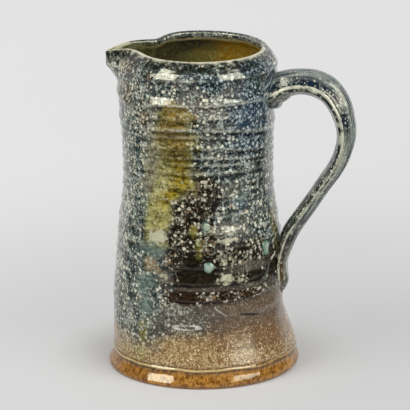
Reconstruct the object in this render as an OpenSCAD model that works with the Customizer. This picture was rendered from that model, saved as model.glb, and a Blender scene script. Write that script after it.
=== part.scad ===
// A salt-glazed stoneware jug, thrown on the wheel, with a pulled lip and a pulled strap handle.
// Millimetres, +Z up. The origin is the middle of the foot's underside.
// The handle points along +X, and the lip points the other way.
// Every list of shares gives places as fractions of a driving dimension.

/* [Thrown body] */
// Height of the rim's crest above the table
jug_h = 205; // [150:1:280]
// Radius of the foot band where it is widest
foot_r = 60; // [48:0.5:84]
// Thickness of the thrown wall at the foot
wall_low = 6.4; // [4.5:0.1:9]
// Thickness of the thrown wall under the rim
wall_high = 5; // [3.6:0.1:7]
// Thickness of the floor
floor_t = 7.5; // [5:0.1:11]
// How far the strongest throwing ring stands out of the wall
ring_t = 1; // [0.3:0.05:1.4]
// Height of the undercut below a throwing ring
ring_fall = 1.8; // [0.8:0.1:2.2]

/* [Lip] */
// How far the lip's tip reaches past the rim's crest
lip_out = 18.2; // [8:0.2:26]
// How far the lip's tip hangs below the rim's crest
lip_drop = 4.4; // [1:0.2:8]
// How far the rim is pinched in beside the lip, on the far side
pinch_far = 3.6; // [0:0.1:5]
// How far the rim is pinched in beside the lip, on the near side
pinch_near = 1.2; // [0:0.1:5]
// Direction of the lip in degrees, where the handle is at zero
lip_angle = 184; // [176:1:190]

/* [Handle] */
// How far the handle's outer face reaches from the jug's axis
handle_reach = 98; // [88:0.5:125]
// Width of the handle strap at mid-height
strap_w = 24; // [18:0.5:32]
// Thickness of the handle strap at its straight lower part
strap_t = 10.6; // [8:0.1:14]
// Radius of the clay coil pressed in under the handle's root
coil_r = 3.4; // [2:0.1:5]
// Thickness of the thumbed clay beside the handle's tail
pad_t = 1.7; // [1:0.1:3]

/* [Glaze] */
// Thickness of the poured glaze inside the jug
liner_t = 0.7; // [0.4:0.05:1.2]
// Height of the largest glass drip on the wall
drip_t = 1.1; // [0.6:0.1:2]

/* [Hidden] */

// Colours as the photo shows them.
clay_colour = [0.33, 0.35, 0.36];
liner_colour = [0.47, 0.38, 0.10];
handle_colour = [0.23, 0.27, 0.31];
join_colour = [0.27, 0.26, 0.24];
drip_colour = [0.55, 0.72, 0.70];

// The foot, from the edge of its underside to above the turned groove.
// Each row is a height in shares of jug_h and a radius in shares of foot_r.
foot_shares = [
    [0, 0.962], [0.0025, 0.978], [0.009, 0.993], [0.02, 1], [0.037, 1], [0.049, 0.996],
    [0.0575, 0.985], [0.0635, 0.967], [0.069, 0.975], [0.0755, 0.964], [0.082, 0.953]
];

// The wall without its throwing rings, as height and radius shares.
wall_shares = [
    [0.082, 0.953], [0.107, 0.937], [0.132, 0.922], [0.156, 0.909], [0.185, 0.896], [0.205, 0.893],
    [0.232, 0.894], [0.265, 0.888], [0.3, 0.879], [0.35, 0.866], [0.4, 0.854], [0.44, 0.845],
    [0.47, 0.834], [0.5, 0.817], [0.53, 0.802], [0.565, 0.79], [0.61, 0.784], [0.66, 0.785],
    [0.71, 0.789], [0.76, 0.797], [0.8, 0.804], [0.84, 0.812], [0.87, 0.816], [0.9, 0.813],
    [0.93, 0.808], [0.95, 0.8]
];

// How far each level stands off the axis toward the handle, in shares of foot_r.
// The wall was pushed in on the handle's side when the handle was pressed on.
shift_shares = [
    [0, 0], [0.015, 0.013], [0.03, 0.02], [0.06, 0.02], [0.083, 0.015], [0.107, -0.001],
    [0.132, -0.015], [0.156, -0.028], [0.192, -0.044], [0.245, -0.043], [0.3, -0.037],
    [0.44, -0.033], [0.63, -0.034], [0.78, -0.039], [0.855, -0.031], [0.9, -0.018],
    [0.94, -0.009], [1, -0.007]
];

// Throwing rings, from the foot up: height in shares of jug_h, bulge in shares of ring_t.
// The last two are the ledges of the neck band and of the rim's collar.
ring_shares = [
    [0.122, 0.3], [0.171, 0.35], [0.222, 0.35], [0.273, 0.45], [0.327, 0.5], [0.376, 0.45],
    [0.429, 0.45], [0.478, 0.6], [0.529, 0.4], [0.576, 0.45], [0.62, 0.45], [0.662, 0.55],
    [0.687, 0.5], [0.706, 0.6], [0.734, 0.6], [0.769, 0.65], [0.792, 0.95], [0.832, 0.4],
    [0.874, 1], [0.949, 0.9]
];

// The collar's shoulder and the rolled rim, up to the inner arris.
// Each row: height, radius, then the lip's share of its reach and of its drop there.
rim_shares = [
    [0.966, 0.787, 0.65, 0.84], [0.98, 0.754, 0.77, 0.86], [0.99, 0.724, 0.88, 0.9],
    [0.997, 0.699, 0.97, 0.97], [1, 0.682, 1, 1], [0.9993, 0.66, 1.02, 0.95],
    [0.996, 0.64, 1.02, 0.88]
];

// The inside, from the arris down to the corner of the floor, with the same columns.
// A radius of zero stands for the outer wall's radius less the wall's thickness.
inside_shares = [
    [0.986, 0.641, 0.96, 0.95], [0.972, 0.672, 0.72, 1.1], [0.955, 0.703, 0.43, 1.3],
    [0.93, 0.72, 0.24, 1.2], [0.9, 0, 0.13, 1], [0.85, 0, 0.05, 0.5], [0.78, 0, 0, 0],
    [0.68, 0, 0, 0], [0.57, 0, 0, 0], [0.46, 0, 0, 0], [0.34, 0, 0, 0], [0.2, 0, 0, 0]
];

// The lip outside, below the shoulder: height, share of the lip's reach, share of its drop.
lip_shares = [
    [0.72, 0, 0], [0.78, 0.01, 0], [0.83, 0.025, 0.02], [0.865, 0.045, 0.12], [0.89, 0.09, 0.34],
    [0.91, 0.2, 0.55], [0.93, 0.39, 0.68], [0.949, 0.55, 0.77], [0.966, 0.65, 0.84]
];

// Half the angle that the lip spans at the rim, on its far and near sides, and lower down.
lip_spread_far = 13;
lip_spread_near = 10.5;
lip_spread_low = 24;
lip_spread_from_share = 0.86;
lip_spread_to_share = 0.97;
// How sharply the lip's sides fall away from its middle.
lip_power = 1.65;
// How much sooner the drop fades than the reach, so that only the tip hangs.
lip_drop_power = 1.8;

// The two fingers that pinched the rim: angle from the lip, angle they spread over.
pinch_at = 36;
pinch_spread = 15;
pinch_from_share = 0.86;
pinch_to_share = 0.96;
// How far a pinch lowers the rim, as a share of the pinch itself.
pinch_dip_share = 0.35;

// The corner between the wall and the floor, and the soft rise in the floor's middle.
corner_shares = [[0.115, 0.985], [0.07, 0.95], [0.03, 0.86], [0.008, 0.7], [0, 0.45], [0.004, 0.2]];

// Points around the jug. They stand closer together at the lip.
around_count = 48;
around_power = 1.2;

// The handle's middle line: height in shares of jug_h, then how far out it is from the wall.
// A share of zero is on the wall, and one is the furthest that the line goes.
// The last two columns are half the thickness and half the width, in shares of the strap's.
strap_shares = [
    [0.873, -0.09, 1.03, 0.62], [0.883, 0.045, 0.92, 0.59], [0.897, 0.179, 0.79, 0.56],
    [0.904, 0.36, 0.76, 0.545], [0.9, 0.565, 0.77, 0.535], [0.878, 0.765, 0.75, 0.525],
    [0.838, 0.905, 0.7, 0.515], [0.788, 0.98, 0.62, 0.51], [0.737, 1, 0.57, 0.5],
    [0.688, 0.951, 0.53, 0.49], [0.634, 0.843, 0.51, 0.485], [0.58, 0.68, 0.49, 0.47],
    [0.526, 0.515, 0.49, 0.46], [0.473, 0.327, 0.5, 0.46], [0.427, 0.178, 0.5, 0.475],
    [0.383, 0.1, 0.43, 0.5], [0.332, 0.045, 0.27, 0.5], [0.279, 0.04, 0.29, 0.42],
    [0.249, -0.008, 0.24, 0.3], [0.222, -0.09, 0.12, 0.18]
];
strap_steps = 2;

// One half of the strap's outline: share of the half width, share of the half thickness.
// The outer face has a broad middle rib, a thumb groove and a raised edge.
strap_outer_shares = [
    [0, 1], [0.24, 0.96], [0.42, 0.78], [0.57, 0.46], [0.7, 0.26], [0.8, 0.25], [0.92, 0.28], [1, 0.08]
];
strap_inner_shares = [[0.98, -0.14], [0.88, -0.26], [0.7, -0.5], [0.4, -0.85], [0, -1]];

// The wall patches that the clay joints are shaped to, as height and angle ranges.
upper_patch_shares = [0.76, 0.985];
lower_patch_shares = [0.14, 0.52];
patch_half_angle = 50;
// How deep a patch reaches under the surface, as a share of the radius.
patch_depth_share = 0.35;

// The coil under the root: half the angle it spans, its heights at the middle and the ends.
coil_half_angle = 17;
coil_mid_share = 0.834;
coil_end_share = 0.866;
coil_steps = 14;
coil_sides = 12;
// How far the coil's middle line stands out of the wall, as a share of its radius.
coil_proud_share = 0.35;
// How thin the coil is at its very ends, and how late it rounds off toward them.
coil_tip_share = 0.3;
coil_round_power = 7;

// The thumbed pad: its middle height, half its height, half the angle that it spans.
pad_mid_share = 0.336;
pad_half_share = 0.124;
pad_half_angle = 27;
// How wide the pad is from its foot at -1 to its top at 1, as shares of its widest.
pad_wide_shares = [[-1, 0.36], [-0.7, 0.78], [-0.3, 1], [0.1, 0.86], [0.5, 0.6], [0.8, 0.46], [1, 0.34]];
pad_across = 14;
pad_up = 14;
// Its thickness in the thumb's hollow and at its edge, as shares of pad_t.
pad_hollow_share = 0.45;
pad_edge_share = 0.2;
// Where the raised rim runs between the pad's middle and its edge, and how broad it is.
pad_rim_at = 0.78;
pad_rim_spread = 0.16;

// Glass drips: height in shares of jug_h, angle, size in shares of drip_r, drop in shares of it.
drip_r = 3.4;
drip_shares = [
    [0.411, -23.4, 0.95, 1.35], [0.376, -71.3, 1, 1.1], [0.497, -71.4, 0.55, 1.2],
    [0.452, -79, 0.42, 1.5]
];
drip_sides = 14;
drip_rings = 4;
// How deep a drip's base is set before the wall shapes it, as a share of its height.
drip_root_share = 0.8;
// The angle up the drip's dome at its last ring.
drip_top_angle = 80;
// The patch of wall under a drip: how far it reaches down, up and to each side.
drip_patch_down_share = 0.06;
drip_patch_up_share = 0.05;
drip_patch_half_angle = 22;

// A smooth curve through rows of [x, value...], read at x in the given column.
function row_at(rows, x) = max([0, for (i = [0 : len(rows) - 2]) if (x >= rows[i][0]) i]);
function slope_at(rows, i, column) =
    let (
        before = max(i - 1, 0),
        after = min(i + 1, len(rows) - 1)
    )
    (rows[after][column] - rows[before][column]) / (rows[after][0] - rows[before][0]);
function curve(rows, x, column) =
    let (
        i = row_at(rows, x),
        span = rows[i + 1][0] - rows[i][0],
        t = min(max((x - rows[i][0]) / span, 0), 1)
    )
    (2 * t ^ 3 - 3 * t ^ 2 + 1) * rows[i][column]
    + (t ^ 3 - 2 * t ^ 2 + t) * span * slope_at(rows, i, column)
    + (3 * t ^ 2 - 2 * t ^ 3) * rows[i + 1][column]
    + (t ^ 3 - t ^ 2) * span * slope_at(rows, i + 1, column);

// A smooth step from zero at low to one at high.
function step(low, high, x) =
    let (t = min(max((x - low) / (high - low), 0), 1))
    t * t * (3 - 2 * t);

// An angle brought between -180 and 180.
function turn(a) = a - 360 * round(a / 360);

// Throwing rings: each rises out of the wall from above and is undercut below its crest.
ring_top_share = 0.99;
// Where the body gets one more level between two rings, as a share of the gap.
ring_mid_share = 0.4;
collar_top_z = rim_shares[0][0] * jug_h;
function ring_z(i) = i < len(ring_shares) ? ring_shares[i][0] * jug_h : ring_top_share * jug_h;
function ring_gap(i) = ring_z(i + 1) - ring_fall - ring_z(i);
function ring_lift(i, z) =
    z >= ring_z(i)
        ? max(1 - (z - ring_z(i)) / ring_gap(i), 0) ^ 2
        : max(1 - (ring_z(i) - z) / ring_fall, 0) ^ 2;
function ring_sum(z, i = 0) =
    i == len(ring_shares) ? 0 : ring_shares[i][1] * ring_lift(i, z) + ring_sum(z, i + 1);

// The wall at a height: its plain radius, its centre's shift and its ringed radius.
function plain_r(z) = curve(wall_shares, z / jug_h, 1) * foot_r;
function shift(z) = curve(shift_shares, z / jug_h, 1) * foot_r;
function ringed_r(z) = plain_r(z) + ring_t * ring_sum(z);
function wall_x(z) = shift(z) + plain_r(z);

// One level of the body: height, radius, lip's reach, lip's drop.
foot_levels = [for (row = foot_shares) [row[0] * jug_h, row[1] * foot_r, 0, 0]];
wall_heights = [
    for (i = [0 : len(ring_shares) - 1])
        for (z = [ring_z(i) - ring_fall, ring_z(i), ring_z(i) + ring_mid_share * ring_gap(i)])
            if (z < collar_top_z - ring_fall / 2) z
];
function lip_reach_at(z) = lip_out * curve(lip_shares, z / jug_h, 1);
function lip_drop_at(z) = lip_drop * curve(lip_shares, z / jug_h, 2);
wall_levels = [for (z = wall_heights) [z, ringed_r(z), lip_reach_at(z), lip_drop_at(z)]];
rim_levels = [for (row = rim_shares) [row[0] * jug_h, row[1] * foot_r, row[2] * lip_out, row[3] * lip_drop]];
function wall_t(z) = wall_low + (wall_high - wall_low) * z / jug_h;
inside_levels = [
    for (row = inside_shares)
        [
            row[0] * jug_h,
            row[1] > 0 ? row[1] * foot_r : plain_r(row[0] * jug_h) - wall_t(row[0] * jug_h),
            row[2] * lip_out,
            row[3] * lip_drop
        ]
];
inside_low = inside_shares[len(inside_shares) - 1][0] * jug_h;
corner_r = plain_r(inside_low) - wall_t(inside_low);
floor_levels = [for (row = corner_shares) [floor_t + row[0] * jug_h, row[1] * corner_r, 0, 0]];

// Angles around the jug, from the lip round to the lip again.
function spread(u) = u < 0.5 ? (2 * u) ^ around_power / 2 : 1 - (2 - 2 * u) ^ around_power / 2;
around = [for (j = [0 : around_count - 1]) lip_angle + 360 * spread(j / around_count)];

// A point of the body at a level and an angle.
function lip_spread(z, off) =
    let (
        high = off < 0 ? lip_spread_far : lip_spread_near,
        rise = step(lip_spread_from_share * jug_h, lip_spread_to_share * jug_h, z)
    )
    lip_spread_low + (high - lip_spread_low) * rise;
function pinch(z, off) =
    (off < 0 ? pinch_far : pinch_near)
    * exp(-((abs(off) - pinch_at) / pinch_spread) ^ 2)
    * step(pinch_from_share * jug_h, pinch_to_share * jug_h, z);
function body_point(level, angle) =
    let (
        off = turn(angle - lip_angle),
        lip = exp(-(abs(off) / lip_spread(level[0], off)) ^ lip_power),
        squeeze = pinch(level[0], off),
        radius = level[1] + level[2] * lip - squeeze
    )
    [
        shift(level[0]) + radius * cos(angle),
        radius * sin(angle),
        level[0] - level[3] * lip ^ lip_drop_power - squeeze * pinch_dip_share
    ];
function body_ring(level) = [for (angle = around) body_point(level, angle)];

// A closed skin through rings of points, with a flat cap at each end.
module skin(rings) {
    count = len(rings[0]);
    last = len(rings) - 1;
    polyhedron(
        points = [for (ring = rings) each ring],
        faces = [
            [for (j = [0 : count - 1]) j],
            for (i = [0 : last - 1])
                for (j = [0 : count - 1])
                    let (
                        a = i * count + j,
                        b = i * count + (j + 1) % count,
                        c = b + count,
                        d = a + count
                    )
                    each [[a, d, c], [a, c, b]],
            [for (j = [count - 1 : -1 : 0]) last * count + j]
        ]
    );
}

// A closed block between an outer and an inner grid of points that match one to one.
module block(outer, inner) {
    rows = len(outer);
    columns = len(outer[0]);
    last = columns - 1;
    size = rows * columns;
    function at(i, j) = i * columns + j;
    polyhedron(
        points = concat([for (row = outer) each row], [for (row = inner) each row]),
        faces = [
            for (i = [0 : rows - 2])
                for (j = [0 : columns - 2])
                    let (
                        a = at(i, j),
                        b = at(i, j + 1),
                        c = at(i + 1, j + 1),
                        d = at(i + 1, j)
                    )
                    each [
                        [a, d, c], [a, c, b],
                        [size + a, size + c, size + d], [size + a, size + b, size + c]
                    ],
            for (j = [0 : columns - 2])
                each [
                    [at(0, j), at(0, j + 1), size + at(0, j + 1), size + at(0, j)],
                    [at(rows - 1, j + 1), at(rows - 1, j), size + at(rows - 1, j), size + at(rows - 1, j + 1)]
                ],
            for (i = [0 : rows - 2])
                each [
                    [at(i + 1, 0), at(i, 0), size + at(i, 0), size + at(i + 1, 0)],
                    [at(i, last), at(i + 1, last), size + at(i + 1, last), size + at(i, last)]
                ]
        ]
    );
}

// The wall's own facets within a range of heights and angles, made into a block.
function deeper(level) = [level[0], level[1] * (1 - patch_depth_share), level[2], level[3]];
module wall_patch(range, middle, half_angle) {
    levels = [
        for (level = concat(foot_levels, wall_levels, rim_levels))
            if (level[0] >= range[0] * jug_h && level[0] <= range[1] * jug_h)
                level
    ];
    angles = [for (angle = around) if (abs(turn(angle - middle)) <= half_angle) angle];
    outer = [for (level = levels) [for (angle = angles) body_point(level, angle)]];
    inner = [for (level = levels) [for (angle = angles) body_point(deeper(level), angle)]];
    block(outer, inner);
}

// The thrown pot: foot, ringed wall, collar, rolled rim and pulled lip.
module thrown_body() {
    levels = concat(foot_levels, wall_levels, rim_levels, inside_levels, floor_levels);
    color(clay_colour)
        skin([for (level = levels) body_ring(level)]);
}

// The glaze that was poured in and out again: a thin coat from below the rim to the floor.
function inside_normal(levels, i) =
    let (
        before = levels[max(i - 1, 0)],
        after = levels[min(i + 1, len(levels) - 1)],
        along = [after[1] - before[1], after[0] - before[0]]
    )
    [along[1], -along[0]] / norm(along);
module liner_glaze() {
    levels = concat(inside_levels, floor_levels);
    coat = [
        for (i = [0 : len(levels) - 1])
            let (n = inside_normal(levels, i))
            [levels[i][0] + liner_t * n[1], levels[i][1] + liner_t * n[0], levels[i][2], levels[i][3]]
    ];
    last = len(levels) - 1;
    color(liner_colour)
        skin(concat(
            [for (i = [last : -1 : 0]) body_ring(levels[i])],
            [for (i = [0 : last]) body_ring(coat[i])]
        ));
}

// The handle's middle line as rows of [x, z, half thickness, half width].
strap_far = handle_reach - strap_t * strap_shares[8][2];
strap_rows = [
    for (row = strap_shares)
        let (z = row[0] * jug_h)
        [wall_x(z) + row[1] * (strap_far - wall_x(z)), z, row[2] * strap_t, row[3] * strap_w]
];
strap_count = len(strap_rows);
// A smooth curve through the rows, where u counts rows.
function strap_row(i) = strap_rows[min(max(i, 0), strap_count - 1)];
function strap_at(u) =
    let (
        i = min(floor(u), strap_count - 2),
        t = u - i,
        p = strap_row(i - 1),
        q = strap_row(i),
        r = strap_row(i + 1),
        s = strap_row(i + 2)
    )
    (2 * q + (r - p) * t + (2 * p - 5 * q + 4 * r - s) * t ^ 2 + (3 * q - p - 3 * r + s) * t ^ 3) / 2;
strap_nudge = 0.02;
function strap_outward(u) =
    let (
        along = strap_at(min(u + strap_nudge, strap_count - 1)) - strap_at(max(u - strap_nudge, 0)),
        size = norm([along[0], along[1]])
    )
    [-along[1], along[0]] / size;
strap_outline = concat(
    [for (i = [len(strap_outer_shares) - 1 : -1 : 1]) [-strap_outer_shares[i][0], strap_outer_shares[i][1]]],
    strap_outer_shares,
    strap_inner_shares,
    [for (i = [len(strap_inner_shares) - 2 : -1 : 0]) [-strap_inner_shares[i][0], strap_inner_shares[i][1]]]
);
// The tail is wrapped round the wall, so its sides follow the wall's curve.
tail_from = 14;
tail_to = 17;
function strap_ring(u) =
    let (
        row = strap_at(u),
        out = strap_outward(u),
        wrap = step(tail_from, tail_to, u)
    )
    [
        for (share = strap_outline)
            let (
                across = share[0] * row[3],
                lift = share[1] * row[2] - wrap * across ^ 2 / (2 * plain_r(row[1]))
            )
            [row[0] + out[0] * lift, across, row[1] + out[1] * lift]
    ];
module strap() {
    skin([for (k = [(strap_count - 1) * strap_steps : -1 : 0]) strap_ring(k / strap_steps)]);
}
module handle() {
    color(handle_colour)
        difference() {
            strap();
            wall_patch(upper_patch_shares, 0, patch_half_angle);
            wall_patch(lower_patch_shares, 0, patch_half_angle);
        }
}

// A roll of clay pressed in where the handle's root meets the wall from below.
function coil_centre(t) =
    let (
        angle = coil_half_angle * t,
        z = jug_h * (coil_mid_share + (coil_end_share - coil_mid_share) * t ^ 2),
        radius = ringed_r(z) + coil_proud_share * coil_r
    )
    [shift(z) + radius * cos(angle), radius * sin(angle), z];
function coil_ring(t) =
    let (
        nudge = 1 / coil_steps,
        along = coil_centre(t + nudge) - coil_centre(t - nudge),
        side = along / norm(along),
        up = [-side[0] * side[2], -side[1] * side[2], 1 - side[2] ^ 2] / norm([side[0], side[1]]),
        out = cross(side, up),
        radius = coil_r * max(coil_tip_share, sqrt(max(1 - abs(t) ^ coil_round_power, 0)))
    )
    [
        for (k = [0 : coil_sides - 1])
            let (a = 360 * k / coil_sides)
            coil_centre(t) + radius * (cos(a) * out + sin(a) * up)
    ];
module coil() {
    skin([for (k = [coil_steps : -1 : 0]) coil_ring(2 * k / coil_steps - 1)]);
}
module upper_join_coil() {
    color(join_colour)
        difference() {
            coil();
            wall_patch(upper_patch_shares, 0, patch_half_angle);
            strap();
        }
}

// The thumbed clay on both sides of the tail: thick at its rim, thin in the thumb's hollow.
// v runs across the pad and w runs up it, both from -1 to 1.
function pad_lift(v, w) =
    let (
        edge = max(abs(v), abs(w)),
        rim = exp(-((abs(v) - pad_rim_at) / pad_rim_spread) ^ 2),
        fade = 1 - step(pad_rim_at, 1, edge)
    )
    pad_t * (pad_edge_share + fade * (pad_hollow_share + (1 - pad_hollow_share) * rim));
function pad_row(k, under) =
    [
        for (j = [0 : pad_across])
            let (
                w = 2 * k / pad_up - 1,
                v = 2 * j / pad_across - 1,
                z = jug_h * (pad_mid_share + pad_half_share * w),
                angle = pad_half_angle * v * curve(pad_wide_shares, w, 1),
                radius = ringed_r(z) + (under ? -pad_t : pad_lift(v, w))
            )
            [shift(z) + radius * cos(angle), radius * sin(angle), z]
    ];
module lower_join_pad() {
    color(join_colour)
        difference() {
            block([for (k = [0 : pad_up]) pad_row(k, false)], [for (k = [0 : pad_up]) pad_row(k, true)]);
            wall_patch(lower_patch_shares, 0, patch_half_angle);
            strap();
        }
}

// Drops of green glass that fell from the kiln's roof and ran a little down the wall.
module drip(z, angle, size, fall) {
    base_r = ringed_r(z);
    profile = [
        [1, -drip_root_share],
        for (k = [0 : drip_rings - 1])
            let (a = drip_top_angle * k / (drip_rings - 1))
            [cos(a), sin(a)]
    ];
    rings = [
        for (row = profile)
            [
                for (k = [0 : drip_sides - 1])
                    let (
                        a = 360 * k / drip_sides,
                        around_r = drip_r * size * row[0],
                        up = around_r * sin(a) * (sin(a) < 0 ? fall : 1),
                        bearing = angle + around_r * cos(a) / base_r * 180 / PI,
                        out = base_r + drip_t * size * row[1]
                    )
                    [shift(z) + out * cos(bearing), out * sin(bearing), z + up]
            ]
    ];
    skin(rings);
}
module glaze_drips() {
    color(drip_colour)
        for (row = drip_shares)
            difference() {
                drip(row[0] * jug_h, row[1], row[2], row[3]);
                wall_patch(
                    [row[0] - drip_patch_down_share, row[0] + drip_patch_up_share],
                    row[1],
                    drip_patch_half_angle
                );
            }
}

thrown_body();
liner_glaze();
handle();
upper_join_coil();
lower_join_pad();
glaze_drips();
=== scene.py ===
# %% [markdown]
# # A salt-glazed jug
#
# The real jug is stoneware, thrown on a wheel, with a pulled lip and a pulled strap handle.
# Salt was thrown into the hot kiln, and its vapour made the pitted glass on the clay.
# The CAD model of the jug comes in model.glb, and this script loads it as a fixed frame.
# Each visible piece is then worked out again with numpy, from the same named shares as the
# CAD source but on a much finer grid, and it stands for its CAD part.
# The surface is the hard part, so most of the script is about its glaze.

import bpy
import numpy as np
from mathutils import Matrix, Vector


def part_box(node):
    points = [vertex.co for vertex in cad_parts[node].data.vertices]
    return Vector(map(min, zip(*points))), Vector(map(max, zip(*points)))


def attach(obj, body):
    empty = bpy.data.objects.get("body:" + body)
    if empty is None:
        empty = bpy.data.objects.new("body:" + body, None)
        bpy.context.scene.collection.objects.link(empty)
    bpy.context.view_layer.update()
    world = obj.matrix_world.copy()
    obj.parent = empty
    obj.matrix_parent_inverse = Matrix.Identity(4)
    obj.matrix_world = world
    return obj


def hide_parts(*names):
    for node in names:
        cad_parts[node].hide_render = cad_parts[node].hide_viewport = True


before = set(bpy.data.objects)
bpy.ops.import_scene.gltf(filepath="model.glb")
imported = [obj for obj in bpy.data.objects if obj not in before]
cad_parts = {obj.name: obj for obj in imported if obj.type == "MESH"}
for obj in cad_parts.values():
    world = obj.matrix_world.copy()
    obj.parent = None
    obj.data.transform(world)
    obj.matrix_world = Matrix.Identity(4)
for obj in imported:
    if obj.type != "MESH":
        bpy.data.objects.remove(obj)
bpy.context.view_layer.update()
mm = 0.001

# %% [markdown]
# ## The driving sizes
#
# A potter thinks in a few sizes: how tall, how wide at the foot, how far the handle reaches.
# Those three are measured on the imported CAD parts, so the pieces here always fit them.
# The rest are small sizes, in millimetres, that the CAD source names too.

# %% Sizes
body_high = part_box("thrown_body")[1]
handle_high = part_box("handle")[1]
jug_h = body_high.z / mm
foot_r = body_high.y / mm
spline_overshoot = 0.1
handle_reach = handle_high.x / mm - spline_overshoot
wall_low, wall_high, floor_t = 6.4, 5.0, 7.5
ring_t, ring_fall = 1.0, 1.8
lip_out, lip_drop, lip_angle = 18.2, 4.4, 184.0
pinch_far, pinch_near = 3.6, 1.2
strap_w, strap_t = 24.0, 10.6
coil_r, pad_t, liner_t, drip_t, drip_r = 3.4, 1.7, 0.7, 1.1, 3.4
print(f"jug {jug_h:.1f} high, foot {foot_r:.1f} in radius, handle reaches {handle_reach:.1f}")

# %% [markdown]
# ## Curves
#
# A thrown wall is one smooth sweep of the hand, so its profile is a smooth curve through a few
# measured places. Two kinds of curve are enough. The first is read at any height. The second
# runs through rows in order, for outlines that turn back on themselves, as a rim does.

# %% A smooth curve read at any height
def curve(rows, x, column):
    """Cubic between rows of [x, values]: each row's slope is that of the line through its neighbours."""
    rows, x = np.asarray(rows, float), np.asarray(x, float)
    last = len(rows) - 1
    before = np.maximum(np.arange(last + 1) - 1, 0)
    after = np.minimum(np.arange(last + 1) + 1, last)
    slope = (rows[after, column] - rows[before, column]) / (rows[after, 0] - rows[before, 0])
    i = np.clip(np.searchsorted(rows[:, 0], x, side="right") - 1, 0, last - 1)
    span = rows[i + 1, 0] - rows[i, 0]
    t = np.clip((x - rows[i, 0]) / span, 0, 1)
    return (
        (2 * t**3 - 3 * t**2 + 1) * rows[i, column]
        + (t**3 - 2 * t**2 + t) * span * slope[i]
        + (3 * t**2 - 2 * t**3) * rows[i + 1, column]
        + (t**3 - t**2) * span * slope[i + 1]
    )


# %% A smooth line through rows in order
def through(rows, per_span, closed=False):
    """Catmull-Rom: between two rows the line leaves and arrives along their neighbours' chord."""
    rows = np.asarray(rows, float)
    padded = np.vstack([rows[-1:], rows, rows[:2]] if closed else [rows[:1], rows, rows[-1:]])
    a, b, c, d = padded[:-3], padded[1:-2], padded[2:-1], padded[3:]
    t = (np.arange(per_span) / per_span)[:, None, None]
    line = (2 * b + (c - a) * t + (2 * a - 5 * b + 4 * c - d) * t**2 + (3 * b - a - 3 * c + d) * t**3) / 2
    line = line.transpose(1, 0, 2).reshape(-1, rows.shape[1])
    return line if closed else np.vstack([line, rows[-1:]])


def heading(line):
    """Unit vectors along a flat line: each points from the row before to the row after."""
    along = (np.vstack([line[1:], line[-1:]]) - np.vstack([line[:1], line[:-1]]))[:, :2]
    return along / np.linalg.norm(along, axis=1)[:, None]


# %% Steps, hills and angles
def step(low, high, x):
    """Zero below low, one above high, and an S-shaped rise between them."""
    t = np.clip((np.asarray(x, float) - low) / (high - low), 0, 1)
    return t * t * (3 - 2 * t)


def up_step(low, high, z):
    """A step between two heights that are given as shares of the jug's."""
    return step(low * jug_h, high * jug_h, z)


def between(x, low, full, fading, gone):
    """Rises from low to full, stays at one, and falls from fading to gone."""
    return step(low, full, x) * (1 - step(fading, gone, x))


def band(x, low, high, soft):
    """One from low to high, with both ends softened over the same width."""
    return between(x, low - soft / 2, low + soft / 2, high - soft / 2, high + soft / 2)


def bell(x, middle, spread, power=2):
    """One at the middle, falling away like a hill that a higher power makes flatter on top."""
    return np.exp(-(np.abs((x - middle) / spread) ** power))


def turn(angle):
    """An angle in degrees brought between -180 and 180."""
    return (np.asarray(angle, float) + 180) % 360 - 180


# %% [markdown]
# ## The hand's wobble
#
# Nothing thrown by hand is exact. A fixed sum of sine waves in random directions gives a
# smooth unevenness that is the same on every run, because its seed is written down.

# %% Wobble
def wobble(points, wavelength, seed, waves=14):
    """Sum of sines of the position along random directions, about one in size, smooth at wavelength."""
    random = np.random.default_rng(seed)
    direction = random.normal(size=(waves, 3))
    direction /= np.linalg.norm(direction, axis=1)[:, None]
    pace = 2 * np.pi / (wavelength * random.uniform(0.7, 1.5, waves))
    phase = random.uniform(0, 2 * np.pi, waves)
    total = np.zeros(points.shape[:-1])
    for k in range(waves):
        total += np.sin(points @ direction[k] * pace[k] + phase[k])
    return total / np.sqrt(waves / 2)


even_r, faster_up = 40, 1.6


def wall_wobble(z, angle, wavelength, seed):
    """A wobble read on an even cylinder, so that it changes faster up the pot than round it."""
    z, a = np.broadcast_arrays(z, np.radians(angle))
    on_cylinder = np.stack([even_r * np.cos(a), even_r * np.sin(a), faster_up * z], axis=-1)
    return wobble(on_cylinder, wavelength, seed)


# %% [markdown]
# ## The pot's profile
#
# The foot, the wall, the rim and the inside are rows of shares: a height as a share of the
# jug's height, and a radius as a share of the foot's. They start from the CAD source's own
# shares. The foot band leans in a little more toward its groove here, as the photo shows it.

# %% Profile shares
foot_shares = [
    [0, 0.965], [0.0025, 0.983], [0.007, 0.995], [0.012, 0.9995], [0.017, 0.9972], [0.024, 0.9888],
    [0.032, 0.9788], [0.04, 0.9697], [0.046, 0.967], [0.052, 0.967], [0.0575, 0.9665],
    [0.0635, 0.956], [0.069, 0.963], [0.0755, 0.958], [0.082, 0.953],
]
wall_shares = [
    [0.082, 0.953], [0.107, 0.937], [0.132, 0.922], [0.156, 0.909], [0.185, 0.896], [0.205, 0.893],
    [0.232, 0.894], [0.265, 0.888], [0.3, 0.879], [0.35, 0.866], [0.4, 0.854], [0.44, 0.845],
    [0.47, 0.834], [0.5, 0.817], [0.53, 0.802], [0.565, 0.79], [0.61, 0.784], [0.66, 0.785],
    [0.71, 0.789], [0.76, 0.797], [0.8, 0.804], [0.84, 0.812], [0.87, 0.816], [0.9, 0.813],
    [0.93, 0.808], [0.95, 0.8], [0.966, 0.787],
]
shift_shares = [
    [0, 0], [0.015, 0.013], [0.03, 0.02], [0.06, 0.02], [0.083, 0.015], [0.107, -0.001],
    [0.132, -0.015], [0.156, -0.028], [0.192, -0.044], [0.245, -0.043], [0.3, -0.037],
    [0.44, -0.033], [0.63, -0.034], [0.78, -0.039], [0.855, -0.031], [0.9, -0.018],
    [0.94, -0.009], [1, -0.007],
]

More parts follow.
